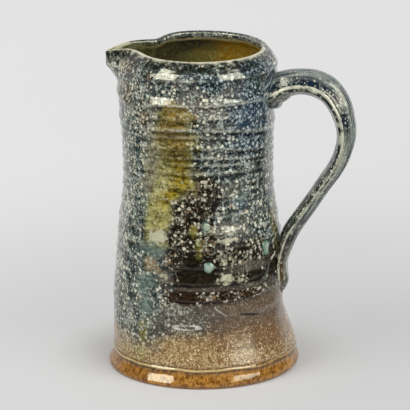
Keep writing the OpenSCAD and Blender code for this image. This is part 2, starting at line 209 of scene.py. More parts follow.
# %% Rim, inside and lip shares
# The rows of the rim and the inside go on with shares of the lip's reach and of its drop.
# An inside radius of zero stands for the outer radius less the wall's thickness.
rim_shares = [
    [0.966, 0.787, 0.65, 0.84], [0.98, 0.754, 0.77, 0.86], [0.99, 0.724, 0.88, 0.9],
    [0.997, 0.699, 0.97, 0.97], [1, 0.682, 1, 1], [0.9993, 0.66, 1.02, 0.95], [0.996, 0.64, 1.02, 0.88],
]
inside_shares = [
    [0.986, 0.641, 0.96, 0.95], [0.972, 0.672, 0.72, 1.1], [0.955, 0.703, 0.43, 1.3],
    [0.93, 0.72, 0.24, 1.2], [0.9, 0, 0.13, 1], [0.85, 0, 0.05, 0.5],
    *[[share, 0, 0, 0] for share in (0.78, 0.68, 0.57, 0.46, 0.34, 0.2)],
]
corner_shares = [[0.115, 0.985], [0.07, 0.95], [0.03, 0.86], [0.008, 0.7], [0, 0.45], [0.004, 0.2]]
lip_shares = [
    [0.72, 0, 0], [0.78, 0.01, 0], [0.83, 0.025, 0.02], [0.865, 0.045, 0.12], [0.89, 0.09, 0.34],
    [0.91, 0.2, 0.55], [0.93, 0.39, 0.68], [0.949, 0.55, 0.77], [0.966, 0.65, 0.84],
]


# %% Radius, shift and wall thickness at a height
def plain_r(z):
    """The wall without its throwing rings: a smooth curve through the foot's and wall's rows."""
    share = np.asarray(z) / jug_h
    in_foot = share < foot_shares[-1][0]
    return foot_r * np.where(in_foot, curve(foot_shares, share, 1), curve(wall_shares, share, 1))


def shift(z):
    """How far each level stands off the axis toward the handle."""
    return foot_r * curve(shift_shares, np.asarray(z) / jug_h, 1)


def wall_t(z):
    """The wall thins evenly from the foot to the rim."""
    return wall_low + (wall_high - wall_low) * np.asarray(z) / jug_h


def on_pot(r, angle, z):
    """Points at a radius about each level's own middle, an angle in degrees and a height."""
    a = np.radians(angle)
    return np.stack(np.broadcast_arrays(shift(z) + r * np.cos(a), r * np.sin(a), z), axis=-1)


# %% [markdown]
# ## Throwing rings
#
# A finger that rises as the wheel turns leaves a ring: it swells out of the wall from above
# and drops sharply below its crest. Real rings are soft and a little uneven, so the sharp
# drawing is blurred along the height, and each ring rises, falls and fades round the pot.

# %% Ring table
# A row is the crest's height as a share of the jug's, and its bulge as a share of ring_t.
ring_shares = [
    [0.122, 0.03], [0.171, 0.08], [0.222, 0.2], [0.273, 0.4], [0.327, 0.5], [0.376, 0.45],
    [0.429, 0.45], [0.478, 0.6], [0.529, 0.4], [0.576, 0.45], [0.62, 0.45], [0.662, 0.55],
    [0.687, 0.5], [0.706, 0.6], [0.734, 0.6], [0.769, 0.65], [0.792, 0.95], [0.832, 0.4],
    [0.874, 1.5], [0.949, 0.9],
]
rings_end = 0.99
ring_step, ring_blur, ring_reach, blur_steps = 0.1, 0.32, 8.5, 15
ring_heights = np.arange(0, jug_h, ring_step)
sharp = np.zeros_like(ring_heights)
for (share, bulge), (next_share, _) in zip(ring_shares, [*ring_shares[1:], [rings_end, 0]]):
    crest_z = share * jug_h
    reach_up = min(next_share * jug_h - ring_fall - crest_z, ring_reach)
    above = np.clip(1 - (ring_heights - crest_z) / reach_up, 0, None) ** 2
    below = np.clip(1 - (crest_z - ring_heights) / ring_fall, 0, None) ** 2
    sharp += bulge * np.where(ring_heights >= crest_z, above, below)
kernel = np.exp(-((np.arange(-blur_steps, blur_steps + 1) * ring_step / ring_blur) ** 2) / 2)
ring_table = np.convolve(sharp, kernel / kernel.sum(), mode="same")
print(f"{len(ring_shares)} rings, {ring_table.max() * ring_t:.2f} mm proud at most")


# %% Ring relief
wander, handle_dip, lip_dip = 0.45, 5.2, 5.5


def ring_wander(z, angle):
    """How far in mm each ring dips: a slow wobble, one dip beside the handle, one under the lip."""
    z, angle = np.broadcast_arrays(z, turn(angle))
    on_wall = between(z, 0.1 * jug_h, 0.25 * jug_h, 0.82 * jug_h, 0.87 * jug_h)
    beside_handle = handle_dip * bell(angle, -6, 30) * bell(z, 152, 20)
    under_lip = lip_dip * (bell(angle, -140, 24) + bell(angle, 148, 24)) * bell(z, 172, 15)
    return wander * wall_wobble(z, angle, 55, 11) * on_wall + beside_handle + under_lip


fold_angles, fold_heights = [-42, -34.5, -29.7, -24, -15.2, -9.4], [62, 62.2, 64.5, 68.9, 75.4, 80]
fold_high, thumb_deep = 0.8, 1.1


def thumb_fold(z, angle):
    """The thumb's mark beside the handle's tail: a low fold along an arc, and the hollow on its right."""
    angle = turn(angle)
    fold = bell(z, np.interp(angle, fold_angles, fold_heights), 1.3) * between(angle, -44, -37, -13, -8)
    hollow = bell(z, 69, 6) * bell(angle, -17.5, 5.5)
    return fold_high * fold - thumb_deep * hollow


def ring_relief(z, angle):
    """The blurred rings read at a height that wanders with the angle, then scaled unevenly."""
    fade = 1 + 0.22 * wall_wobble(z, angle, 42, 12) * (1 - up_step(0.84, 0.87, z))
    rings = np.interp(z + ring_wander(z, angle), ring_heights, ring_table)
    return ring_t * rings * np.clip(fade, 0.35, 1.3) + thumb_fold(z, angle)


def wall_radius(z, angle):
    """The outer wall's radius about its own shifted centre, rings and all."""
    return plain_r(z) + ring_relief(z, angle)


# %% [markdown]
# ## The lip
#
# The lip is pulled out with one finger while two others pinch the rim beside it. A bell curve
# round the lip's direction carries the wall out and down, and two small bells pinch it in.

# %% Lip and pinches
lip_spread_far, lip_spread_near, lip_spread_low = 13.0, 10.5, 24.0
lip_power, lip_drop_power = 1.65, 1.8
pinch_at, pinch_spread, pinch_dip = 36.0, 15.0, 0.35
slow_hand, quick_hand, hand_share = 0.1, 0.035, 0.6


def lip_spread(z, off):
    """Half the angle that the lip spans: broad on the neck and narrow at the rim."""
    high = np.where(off < 0, lip_spread_far, lip_spread_near)
    return lip_spread_low + (high - lip_spread_low) * up_step(0.86, 0.97, z)


def relief_at(points, z, angle):
    """Rings between foot and rim, with a slow unevenness of the hand everywhere above the table."""
    on_wall = up_step(0.085, 0.1, z) * (1 - up_step(0.958, 0.975, z))
    uneven = slow_hand * wobble(points, 26, 21) + quick_hand * wobble(points, 7, 22)
    return on_wall * ring_relief(z, angle) + uneven * up_step(0.004, 0.02, z) * hand_share


def outward(angle):
    """The flat direction that an angle points in."""
    return np.stack([np.cos(np.radians(angle)), np.sin(np.radians(angle))], axis=-1)


def pot_points(levels, angles, relief=True):
    """A grid from levels [z, r, lip reach, lip drop] and angles: the radius grows by reach times the
    lip's bell and shrinks by the pinch, and the height falls by drop times the bell."""
    z, r, out, drop = (levels[:, k, None] for k in range(4))
    off = turn(angles - lip_angle)
    lip = bell(off, 0, lip_spread(z, off), lip_power)
    pinch = np.where(off < 0, pinch_far, pinch_near) * bell(np.abs(off), pinch_at, pinch_spread)
    pinch = pinch * up_step(0.86, 0.96, z)
    points = on_pot(r + out * lip - pinch, angles, z)
    points[..., 2] = z - drop * lip**lip_drop_power - pinch * pinch_dip
    if relief:
        points[..., :2] += relief_at(points, z, angles)[..., None] * outward(angles)
    return points


# %% [markdown]
# ## From a grid to a mesh
#
# Every piece is a grid of points that closes on itself one way, and ends in a pole at each end.
# The faces are made as whole arrays of corner numbers, in the order that points outwards.
# The volume is worked out from the corners: it is positive only if the faces look out.

# %% Mesh helpers
def grid_faces(rows, columns):
    """Quads between rings numbered row by row, and triangles from the end rings to two poles."""
    i, j = np.meshgrid(np.arange(rows - 1), np.arange(columns), indexing="ij")
    right = (j + 1) % columns
    row, next_row = i * columns, (i + 1) * columns
    quads = np.stack([row + j, row + right, next_row + right, next_row + j], -1)
    j, right, count = j[0], right[0], rows * columns
    low_fan = np.stack([np.full(columns, count), right, j], -1)
    high_fan = np.stack([np.full(columns, count + 1), count - columns + j, count - columns + right], -1)
    return quads.reshape(-1, 4), np.vstack([low_fan, high_fan])


def volume(points, quads, triangles):
    """The sum of the signed volumes of the tetrahedra from the origin to each triangle."""
    corners = np.vstack([quads[:, [0, 1, 2]], quads[:, [0, 2, 3]], triangles])
    a, b, c = points[corners].transpose(1, 0, 2)
    return np.einsum("ij,ij->", a, np.cross(b, c)) / 6


def new_object(name, data):
    """An object made of a mesh, a lamp or a camera, linked into the scene."""
    obj = bpy.data.objects.new(name, data)
    bpy.context.scene.collection.objects.link(obj)
    return obj


def piece(name, grid, stands_for, material, fields, poles=None):
    """A closed mesh from a grid of rings. It rides on the jug, stands for its CAD node and carries
    named fields. Without given poles, each is the middle of its ring."""
    rows, columns = grid.shape[:2]
    points = np.vstack([grid.reshape(-1, 3), grid[[0, -1]].mean(axis=1) if poles is None else poles])
    quads, triangles = grid_faces(rows, columns)
    mesh = bpy.data.meshes.new(name)
    mesh.from_pydata((points * mm).tolist(), [], quads.tolist() + triangles.tolist())
    mesh.shade_smooth()
    for title, values in fields.items():
        values = np.broadcast_to(values, (rows, columns))
        kept = mesh.attributes.new(title, "FLOAT", "POINT")
        kept.data.foreach_set("value", np.append(values, values[[0, -1], 0]).astype(np.float32))
    mesh.materials.append(material)
    obj = new_object(name, mesh)
    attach(obj, "root")
    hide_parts(stands_for)
    made = volume(points, quads, triangles) / 1000
    print(f"{name}: {len(quads) + len(triangles)} faces, {made:.2f} ml of clay or glass")
    return obj


# %% [markdown]
# ## Small tools for materials
#
# A material is a tree of nodes. Each helper adds one node to the tree that is open, fills its
# sockets with values or wires, and returns a wire from its output. Wires can be added and
# multiplied like numbers, so a material reads like a sum written out.

# %% Wires
class Wire:
    """A node's output. Adding, subtracting or multiplying wires and numbers adds a Math node."""

    def __init__(self, socket):
        self.socket = socket

    def __add__(self, other):
        return calc("ADD", self, other)

    def __sub__(self, other):
        return calc("SUBTRACT", self, other)

    def __rsub__(self, other):
        return calc("SUBTRACT", other, self)

    def __mul__(self, other):
        return calc("MULTIPLY", self, other)

    __radd__, __rmul__ = __add__, __mul__


def fill(socket, value):
    """Links a wire to a socket, or sets its number, vector or colour."""
    if isinstance(value, Wire):
        tree.links.new(value.socket, socket)
    else:
        socket.default_value = (*value, 1) if socket.type == "RGBA" else value


def add(kind, inputs=None, **settings):
    """Adds a node, sets its options, and fills its sockets with values or wires."""
    node = tree.nodes.new("ShaderNode" + kind)
    for name, value in settings.items():
        setattr(node, name, value)
    for name, value in (inputs or {}).items():
        fill(node.inputs[name], value)
    return node


def put(kind, inputs=None, output=0, **settings):
    """Adds a node and returns a wire from one of its outputs."""
    return Wire(add(kind, inputs, **settings).outputs[output])


# %% Node helpers
def calc(operation, *values, clamp=False):
    """One Math node."""
    return put("Math", dict(enumerate(values)), operation=operation, use_clamp=clamp)


def largest(first, *others):
    """The largest of several wires."""
    return calc("MAXIMUM", first, largest(*others)) if others else first


def vector(operation, *values):
    """One Vector Math node. A dot product or a length comes out as a number."""
    output = "Value" if operation in ("DOT_PRODUCT", "LENGTH") else 0
    return put("VectorMath", dict(enumerate(values)), output, operation=operation)


def ramp(value, low, high, to_low=0.0, to_high=1.0):
    """An S-shaped step from to_low at low to to_high at high."""
    limits = {"Value": value, "From Min": low, "From Max": high, "To Min": to_low, "To Max": to_high}
    return put("MapRange", limits, interpolation_type="SMOOTHSTEP")


def mix(share, first, second):
    """A colour between first and second, by share. A colour is a wire or three numbers."""
    return put("Mix", {0: share, 6: first, 7: second}, 2, data_type="RGBA", clamp_factor=True)


def lay(base, rows):
    """Tones laid over a base colour in turn. A row is a share and a tone, or a share, a grain and
    the two tones that the grain mixes."""
    for share, *tones in rows:
        base = mix(share, base, mix(*tones) if len(tones) > 1 else tones[0])
    return base


def noise(per_metre, detail=3.0, roughness=0.6, point=None, output="Fac"):
    """Smooth random values with that many lumps in a metre."""
    inputs = {"Vector": point or here, "Scale": per_metre, "Detail": detail, "Roughness": roughness}
    return put("TexNoise", inputs, output)


def field(name):
    """A named field that the mesh carries."""
    return put("Attribute", output="Fac", attribute_name=name)


def worn(name, low, high, least):
    """A field broken up by the middle noise: at its full strength above high, and at least below low."""
    return field(name) * ramp(middle, low, high, least, 1.0)


def along_axis(axis):
    """The place along X, Y or Z in metres."""
    return put("SeparateXYZ", {0: here}, axis)


def stretched(*by):
    """The place scaled by three numbers, so that a texture is drawn out along an axis."""
    return vector("MULTIPLY", here, by)


# %% Groups, materials and the glaze shader
def new_group(name, inputs, outputs):
    """An empty group, wires from its inputs and its output node. An input of None is a vector."""
    group = bpy.data.node_groups.new(name, "ShaderNodeTree")
    for title, value in inputs.items():
        kind = "NodeSocketVector" if value is None else "NodeSocketFloat"
        socket = group.interface.new_socket(title, in_out="INPUT", socket_type=kind)
        if value is not None:
            socket.default_value = value
    for title in outputs:
        group.interface.new_socket(title, in_out="OUTPUT", socket_type="NodeSocketFloat")
    given = group.nodes.new("NodeGroupInput").outputs
    return group, [Wire(given[title]) for title in inputs], group.nodes.new("NodeGroupOutput")


def use(group, *values):
    """Places a node group in the tree, fills its sockets in order and returns wires from its outputs."""
    return [Wire(socket) for socket in add("Group", dict(enumerate(values)), node_tree=group).outputs]


def new_material(name):
    """A material, its tree, and a wire with the object's own coordinates in metres."""
    material = bpy.data.materials.new(name)
    material.use_nodes = True
    nodes = material.node_tree.nodes
    return material, material.node_tree, Wire(nodes.new("ShaderNodeTexCoord").outputs["Object"])


glass_ior = 1.5


def glaze(colour, roughness, height, deep_mm):
    """A glossy glass surface over fired clay, with a bump whose full height is deep_mm."""
    bsdf = tree.nodes["Principled BSDF"].inputs
    fill(bsdf["Base Color"], colour)
    fill(bsdf["Roughness"], roughness)
    fill(bsdf["Normal"], put("Bump", {"Height": height, "Distance": deep_mm * mm, "Strength": 1.0}))
    bsdf["IOR"].default_value = glass_ior


# %% [markdown]
# ## Salt specks
#
# Salt glass gathers in small pale beads with dark clay between them, which potters call
# orange peel. A Voronoi texture has one random cell for each bead: the distance from the
# cell's middle draws the bead, and the cell's own random colour says whether it is there,
# how big it is and how warm its glass is. One group does this for every material.

# %% The speck group
tree, (point, spacing, share, size, soft), out = new_group(
    "salt_specks",
    {"Point": None, "Spacing mm": 1.6, "Share": 0.7, "Size": 0.8, "Soft": 0.4},
    ("Speck", "Chance", "Dome"),
)
specks = tree
bend_m = 0.0011
uneven_point = vector("MULTIPLY_ADD", noise(700.0, 2.0, 0.55, point, "Color"), (bend_m,) * 3, point)
cell_point = vector("MULTIPLY", uneven_point, calc("DIVIDE", 1000.0, spacing))
cells = add("TexVoronoi", {"Vector": cell_point, "Scale": 1.0, "Randomness": 0.9}).outputs
off_middle = Wire(cells["Distance"])
dice = add("SeparateColor", {0: Wire(cells["Color"])}).outputs
there = ramp(share - Wire(dice[0]), -0.1, 0.15)
radius = size * (Wire(dice[1]) * 0.3 + 0.36)
outer = radius * (1.0 + soft)
disc = ramp(off_middle, outer, radius * (1.0 - soft))
fill(out.inputs["Speck"], disc * (there * (Wire(dice[2]) * 0.6 + 0.4)))
fill(out.inputs["Chance"], Wire(dice[2]))
fill(out.inputs["Dome"], ramp(off_middle, outer, 0.0) * there)
print("salt_specks has", len(tree.nodes), "nodes")

# %% [markdown]
# ## Ragged edges
#
# Where one glaze meets another the line is torn and soft. Each zone is a field on the mesh
# that is one in its middle and a half at its edge. Adding noise before it is cut at a half
# tears the edge, and the width of the cut makes it soft.

# %% The ragged edge group
tree, (inside, grain, tear, soft), out = new_group(
    "ragged_edge", {"Zone": 0.0, "Noise": 0.5, "Tear": 0.5, "Soft": 0.12}, ("Mask",)
)
ragged = tree
fill(out.inputs["Mask"], ramp((grain - 0.5) * tear + inside, 0.5 - soft, 0.5 + soft))
print("ragged_edge has", len(tree.nodes), "nodes")

# %% [markdown]
# ## Zones on the wall
#
# The kiln paints a salt-glazed pot. Cobalt slip is slate blue, ash and iron melt to an amber
# run, bare iron slip stays black-brown, and the clay near the shelf flashes tan and orange.
# Each zone is the strongest of a few shapes. A round patch is a row of height, middle angle,
# half height, half angle and strength. A run down the wall is a tuple of its ends' softness,
# its strength and rows of height, left angle and right angle.

# %% Zone shapes
zone_shapes = {
    "amber": [(7, 1, [
        [178, -106, -86], [168, -111, -85], [157, -112, -82], [148, -117, -82], [131, -119, -84],
        [124, -121, -87], [116, -122, -98], [104, -121, -102], [89, -120, -104],
    ])],
    "gold": [(8, 1, [
        [179, -107, -86], [165, -107, -85], [156, -106, -83], [150, -103, -83], [138, -98, -84],
        [126, -98, -86], [117, -110, -99],
    ])],
    # This zone is partly pale cream glaze and partly painted highlights: its thin patches low on the front
    # stand for the lamps' reflections on ring crests.
    "cream_and_highlight": [
        [94.7, -108.5, 3.6, 7, 1], [93, -57, 1.6, 9, 0.85], [69, -60, 4.6, 8, 0.72],
        [66.5, -48, 2.6, 7, 0.62], [70.5, -102, 3, 5, 0.6], [80.5, -58, 7, 12, 0.5],
    ],
    "lilac": [(7, 1, [
        [178, -118, -108], [160, -119, -109], [148, -121, -107], [130, -122, -112], [120, -124, -116],
    ])],
    "spot": [[77, -114.5, 5.5, 5, 1], [74, -108, 3, 4, 0.8]],
    "teal": [
        [86, -114, 5, 10, 1], [65, -116, 7, 9, 1], [49, -116, 9, 5.5, 0.9],
        [103, -73.5, 4, 2.6, 0.75], [118, -43, 6, 7, 0.7], [112, -122, 12, 4, 0.7],
    ],
    "olive": [
        [33, -119, 7, 4, 1], [18, -124, 5, 6.5, 1], [99.5, -82, 4.2, 2.9, 1],
        [88.5, -78, 6, 2.5, 0.95], [97, -8, 13, 5, 1], [83, -8, 8, 4, 1],
    ],
    "dark": [
        (6, 1, [
            [131, -83, -66], [126, -96, -58], [118, -100, -60], [108, -105, -66], [92, -104, -62],
            [80, -103, -46], [71, -101, -24], [55, -97, -24],
        ]),
        [84, -42, 9, 18, 1], [72, -18, 12, 12, 1], [180, -143, 8, 12, 0.9], [169, -120, 5, 7, 0.9],
        [195.5, -119, 3, 6, 0.8], [197.5, -152, 5, 15, 1], [168, -81, 6, 3.5, 0.9], [151, -79, 3, 4, 0.8],
    ],
    "smooth": [
        (4, 1, [[82, -91, -66], [72, -93, -66], [63, -95, -24]]), (3, 1, [[61, -97, -80], [55, -97, -80]]),
        [67, -34, 5, 8, 1], [70, -18, 6, 5, 1],
    ],
    # This zone is partly grey glaze and partly a painted reflection of the lamps on the lower front rings.
    "grey_and_reflection": [[99, -56, 6, 15, 1], [124, -52, 5, 7, 0.9], [127, -120, 6, 8, 0.6], [46, -141, 13, 18, 0.8]],
    "taupe": [
        (4, 1, [
            [61, -25, 18], [54.5, -27, 18], [53, -100, 18], [46, -104, 18], [36, -112, 16], [24, -70, 14],
        ]),
        (2.5, 1, [[76, -58, -24], [72.5, -62, -18]]), (1.2, 0.8, [[74.7, -102, -90], [73.9, -101, -62]]),
        (1.6, 1, [[63.4, -97, -24], [61.8, -98, -20]]), [69, -102, 5, 6, 0.9],
    ],
    "cobalt": [
        [170, -36, 26, 19, 1], [194, -32, 9, 20, 1], [117, -66, 5, 5, 0.7], [115, -43, 5, 7, 0.7],
        [106.5, -66, 3, 3, 0.8], [194, -68, 6, 22, 0.75], [188, -16, 12, 12, 1], [165, 40, 34, 30, 0.9],
    ],
    "deep": [[190, -30, 7, 16, 1], [192, -66, 4, 14, 0.8], [187, -93, 4, 10, 0.7]],
    "smear": [[186, -15, 9, 11, 1]],
}
print(len(zone_shapes), "zones drawn as patches and runs")


# %% Zones as fields
def patch(z, angle, height, middle, half_height, half_angle, strength):
    """A round patch: one less half the distance from its middle, measured in its own half sizes."""
    far = np.hypot((z - height) / half_height, turn(angle - middle) / half_angle)
    return strength * np.clip(1 - far / 2, 0, 1)


def run(z, angle, end_soft, strength, rows):
    """A run between two edges: one less half the distance from its middle line, in half widths."""
    rows = np.asarray(rows, float)[::-1]
    left, right = np.interp(z, rows[:, 0], rows[:, 1]), np.interp(z, rows[:, 0], rows[:, 2])
    across = np.abs(turn(angle - (left + right) / 2)) / ((right - left) / 2)
    beyond = np.maximum(rows[0, 0] - z, 0) + np.maximum(z - rows[-1, 0], 0)
    return strength * np.clip(1 - np.hypot(across, 2 * beyond / end_soft) / 2, 0, 1)


# The other zones are bands. Tan and its rosy front lie low, the neck is the collar, the flanks
# are the sides turned away, the edge is the wall beside the handle, and the wiggly highlight is
# a thin line of painted highlight.
tan_up_angles, tan_up_mm = [-180, -132, -114, -95, -70, -21, 20, 90, 180], [-1, -4, -4, -1, 2, 2, 0, -1, -1]


def wall_zones(z, angle):
    """Every zone as a field of height in mm and angle in degrees, one inside and zero outside."""
    zones = {}
    for name, shapes in zone_shapes.items():
        drawn = [(run if isinstance(shape, tuple) else patch)(z, angle, *shape) for shape in shapes]
        zones[name] = np.max(drawn, axis=0)
    greyer = 0.38 * band(turn(angle), -150, -106, 20)
    tan_up = np.interp(turn(angle), tan_up_angles, tan_up_mm)
    zones["tan"] = (1 - step(22, 46, z - tan_up)) * (1 - greyer * step(15, 22, z))
    zones["rosy"] = between(angle, -92, -40, 35, 80) * (1 - step(46, 62, z))
    zones["neck"] = band(z, 166, 193, 5) * band(angle, -99, 10, 14)
    zones["flank"] = step(112, 128, np.abs(turn(angle))) + 0.6 * step(0, 30, angle)
    zones["edge"] = band(z, 60, 188, 20) * band(angle, -26, 30, 14)
    zones["wiggly_highlight"] = band(z, 170.5, 176.5, 1.5) * band(angle, -78, -55, 5)
    return {name: np.clip(values, 0, 1) for name, values in zones.items()}


# %% [markdown]
# ## The wall's glaze
#
# The ground colour is built up zone by zone, then the beads are laid over it. Crests show
# paler, because the glass drained off them, and hollows darker, because it pooled there.
# The same beads lift the surface a little through a bump, so the highlights break up.

# %% Zone masks
# A zone's two numbers are how far its edge is torn and how soft it is.
wall_glaze, tree, here = new_material("salt_glaze_wall")
coarse, middle, fine = noise(120.0, 4.0), noise(420.0), noise(1900.0, 2.0)
broad = noise(30.0, 2.0, 0.5)
thrown = noise(190.0, point=stretched(1.0, 1.0, 3.2))
level = along_axis("Z")


def zone(name, tear, soft, grain=None):
    """A zone's field with its edge torn by noise."""
    return use(ragged, field(name), grain or coarse, tear, soft)[0]


mottle = ramp(thrown * 0.6 + middle * 0.4, 0.38, 0.62)
amber, gold, dark = zone("amber", 1.2, 0.26), zone("gold", 1.3, 0.4), zone("dark", 1.0, 0.12)
taupe, tan, rosy = zone("taupe", 0.35, 0.2), zone("tan", 0.7, 0.4), zone("rosy", 0.8, 0.4)
cobalt, teal, olive = zone("cobalt", 1.3, 0.35), zone("teal", 1.5, 0.3), zone("olive", 0.9, 0.25)
cream_and_highlight, spot, grey_and_reflection = zone("cream_and_highlight", 1.0, 0.14, middle), zone("spot", 0.8, 0.25), zone("grey_and_reflection", 1.0, 0.3)
smooth, neck, flank = zone("smooth", 0.6, 0.2), zone("neck", 1.5, 0.3), zone("flank", 0.8, 0.4)
deep, lilac, smear = zone("deep", 1.2, 0.35), zone("lilac", 1.2, 0.4), zone("smear", 1.0, 0.25)
crest, groove, edge = field("crest"), field("groove"), field("edge")
print("18 torn zones and 3 plain fields are read from the mesh")

# %% Ground colour
# The dark slip is rusty near its lower end, and the amber run is gold up to its beige top.
flank_pale = mix(ramp(broad, 0.42, 0.6), (0.04, 0.058, 0.06), (0.08, 0.08, 0.056))
rusty = mix(ramp(level, 0.064, 0.056), (0.022, 0.015, 0.007), (0.044, 0.019, 0.007))
taupe_tone = mix(rosy, (0.098, 0.082, 0.062), (0.17, 0.115, 0.075))
golden = mix(ramp(level, 0.135, 0.153), (0.42, 0.31, 0.025), (0.34, 0.23, 0.055))
ground = lay(mix(mottle, (0.006, 0.013, 0.013), (0.05, 0.062, 0.058)), [
    (ramp(noise(75.0, 3.0, 0.5), 0.5, 0.62, 0.0, 0.7), mottle, (0.03, 0.028, 0.025), (0.14, 0.13, 0.11)),
    (edge, mottle, (0.006, 0.014, 0.016), (0.04, 0.055, 0.052)),
    (flank, mottle, (0.006, 0.014, 0.013), flank_pale),
    (neck, mottle, (0.02, 0.019, 0.017), (0.125, 0.11, 0.098)),
    (cobalt, mottle, (0.003, 0.01, 0.018), (0.016, 0.052, 0.095)),
    (deep, mottle, (0.004, 0.012, 0.009), (0.02, 0.043, 0.042)),
    # Grey patches, partly grey glaze and partly a painted reflection of the lamps.
    (grey_and_reflection, mottle, (0.05, 0.05, 0.04), (0.2, 0.19, 0.15)),
    (tan, middle, (0.12, 0.066, 0.02), (0.3, 0.18, 0.07)),
    (rosy * 0.75, mottle, (0.115, 0.056, 0.023), (0.215, 0.118, 0.054)),
    (dark, mottle, (0.004, 0.003, 0.001), rusty),
    (taupe * (tan * -0.75 + 0.92), ramp(middle, 0.3, 0.7, 0.0, 0.5), taupe_tone, (0.04, 0.026, 0.016)),
    (amber, mottle, (0.11, 0.095, 0.015), (0.48, 0.45, 0.165)),
    (lilac * 0.75, mottle, (0.08, 0.07, 0.05), (0.31, 0.28, 0.2)),
    (gold * amber, mottle, (0.055, 0.038, 0.004), golden),
    (spot * 0.85, mottle, (0.2, 0.12, 0.04), (0.4, 0.3, 0.15)),
    (teal * 0.8, mottle, (0.06, 0.11, 0.1), (0.3, 0.38, 0.32)),
    (olive * 0.9, mottle, (0.06, 0.05, 0.001), (0.24, 0.21, 0.04)),
    (groove * 0.64, (0.0, 0.0, 0.0)),
])

# %% Beads
# Each zone has more or fewer beads than the plain wall by the amount beside it.
bead_cool, bead_warm, bead_pink = (0.53, 0.61, 0.54), (0.84, 0.82, 0.64), (0.7, 0.42, 0.24)
share = flank * ramp(broad, 0.35, 0.6, 0.02, 0.32) + 0.68
for mask, amount in (
    (neck, 0.12), (deep, -0.3), (dark, -0.24), (smooth, -0.55), (taupe, -0.42), (cobalt, -0.06),
    (largest(amber, teal, cream_and_highlight), -0.3), (largest(gold, teal, spot), -0.25), (groove, -0.35),
    (tan, 0.24), (rosy, -0.3), (edge, -0.14), (coarse - 0.5, 1.5),
):
    share = share + mask * amount
big, big_chance, big_dome = use(specks, here, 2.0, share, dark * 0.08 + 0.9, 0.45)
small, small_chance, small_dome = use(specks, here, 1.1, share, 0.85, 0.5)
dust = use(specks, here, 0.95, coarse * 1.4 - 0.3, 0.75, 0.5)[0]
bead = lay(mix(ramp(big_chance, 0.3, 0.9), bead_cool, bead_warm), [
    (dark * 0.8, ramp(big_chance, 0.12, 0.22), (0.36, 0.2, 0.075), (0.72, 0.67, 0.5)),
    (ramp(small_chance, 0.965, 0.98, 0.0, 0.8), bead_pink),
    (tan, small_chance, (0.56, 0.38, 0.17), (0.78, 0.64, 0.37)),
    (amber * 0.75, (0.46, 0.43, 0.19)),
    (cobalt * 0.65, (0.36, 0.48, 0.58)),
])
pale_crest = crest * ramp(largest(middle, thrown), 0.46, 0.62, 0.15, 1.0)
pale_crest = pale_crest * calc("SUBTRACT", dark * -0.6 + 0.8, taupe * 0.3, clamp=True)
colour = lay(ground, [
    (small * largest(tan, ramp(coarse, 0.35, 0.65, 0.2, 0.75)), bead),
    (big * (taupe * -0.4 + (tan * -0.4 + 0.95)), bead),
    (dust * (largest(taupe, rosy) * 0.7), tan, (0.5, 0.47, 0.38), (0.72, 0.55, 0.3)),
    (pale_crest, (0.57, 0.58, 0.46)),
    # Cream patches, partly pale glaze and partly painted highlights of the lamps on the lower rings.
    (cream_and_highlight, middle, (0.38, 0.35, 0.22), (0.64, 0.62, 0.46)),
])


# %% Marks on the wall
# Beside the handle's root the slip is smeared along a slope, and above the amber run a thin
# wiggly line is a painted highlight. A pale loop, which is a painted reflection in a small hollow,
# a scratch and a dent lie low on the front.
mark_deep, ragged_oval, ragged_outline, outline_thick = 15, 1.4, 0.8, 0.64


def mark(angle, height, half_long, half_high, slope=0.0, hollow=False):
    """A small oval on the wall, or its outline: a cut through how many half sizes away its middle is."""
    radial, tangent = np.append(outward(angle), 0), np.append(outward(angle + 90), 0)
    rise, s = np.array([0, 0, 1]), np.radians(slope)
    off = vector("SUBTRACT", here, tuple((radial * plain_r(height) + [shift(height), 0, height]) * mm))
    axes = (
        (tangent * np.cos(s) + rise * np.sin(s)) / (half_long * mm),
        (rise * np.cos(s) - tangent * np.sin(s)) / (half_high * mm),
        radial / (mark_deep * mm),
    )
    place = put("CombineXYZ", {k: vector("DOT_PRODUCT", off, tuple(axis)) for k, axis in enumerate(axes)})
    far = (middle - 0.5) * (ragged_outline if hollow else ragged_oval) + vector("LENGTH", place)
    if hollow:
        far = calc("ABSOLUTE", far - 1.0) + outline_thick
    return ramp(far, 1.1, 0.8)


lean, beside = np.radians(38), np.radians(-16)
lumps_along, lumps_across = 110, 520
toward_root = np.array([-np.sin(beside) * np.cos(lean), np.cos(beside) * np.cos(lean), np.sin(lean)])
up_across = np.array([np.sin(beside) * np.sin(lean), -np.cos(beside) * np.sin(lean), np.cos(lean)])
smear_place = put("CombineXYZ", {
    0: vector("DOT_PRODUCT", here, tuple(toward_root * lumps_along)),
    1: vector("DOT_PRODUCT", here, tuple(up_across * lumps_across)),
})
smeared = ramp(noise(1.0, point=smear_place), 0.48, 0.6)
wiggly_highlight = calc("ABSOLUTE", noise(230.0, 2.0, 0.5, stretched(1.0, 1.0, 4.0)) - 0.5)
colour = lay(colour, [
    (smear * 0.75, smeared, (0.008, 0.02, 0.03), (0.4, 0.46, 0.44)),
    # A thin wiggly line of painted highlight above the amber run.
    (ramp(wiggly_highlight, 0.035, 0.012) * field("wiggly_highlight"), (0.62, 0.63, 0.52)),
    # The pale loop is a painted reflection in a small hollow of the wall.
    (mark(-86, 38.4, 7.2, 1.35, 0, True) * ramp(thrown, 0.42, 0.5, 0.25, 1.0), (0.64, 0.63, 0.54)),
    (mark(-63, 47.8, 4.4, 0.35, -38) * 0.8, (0.5, 0.46, 0.38)),
    (mark(-42, 43.8, 8.0, 1.0, -12) * ramp(coarse, 0.42, 0.5, 0.3, 1.0), (0.016, 0.01, 0.005)),
])
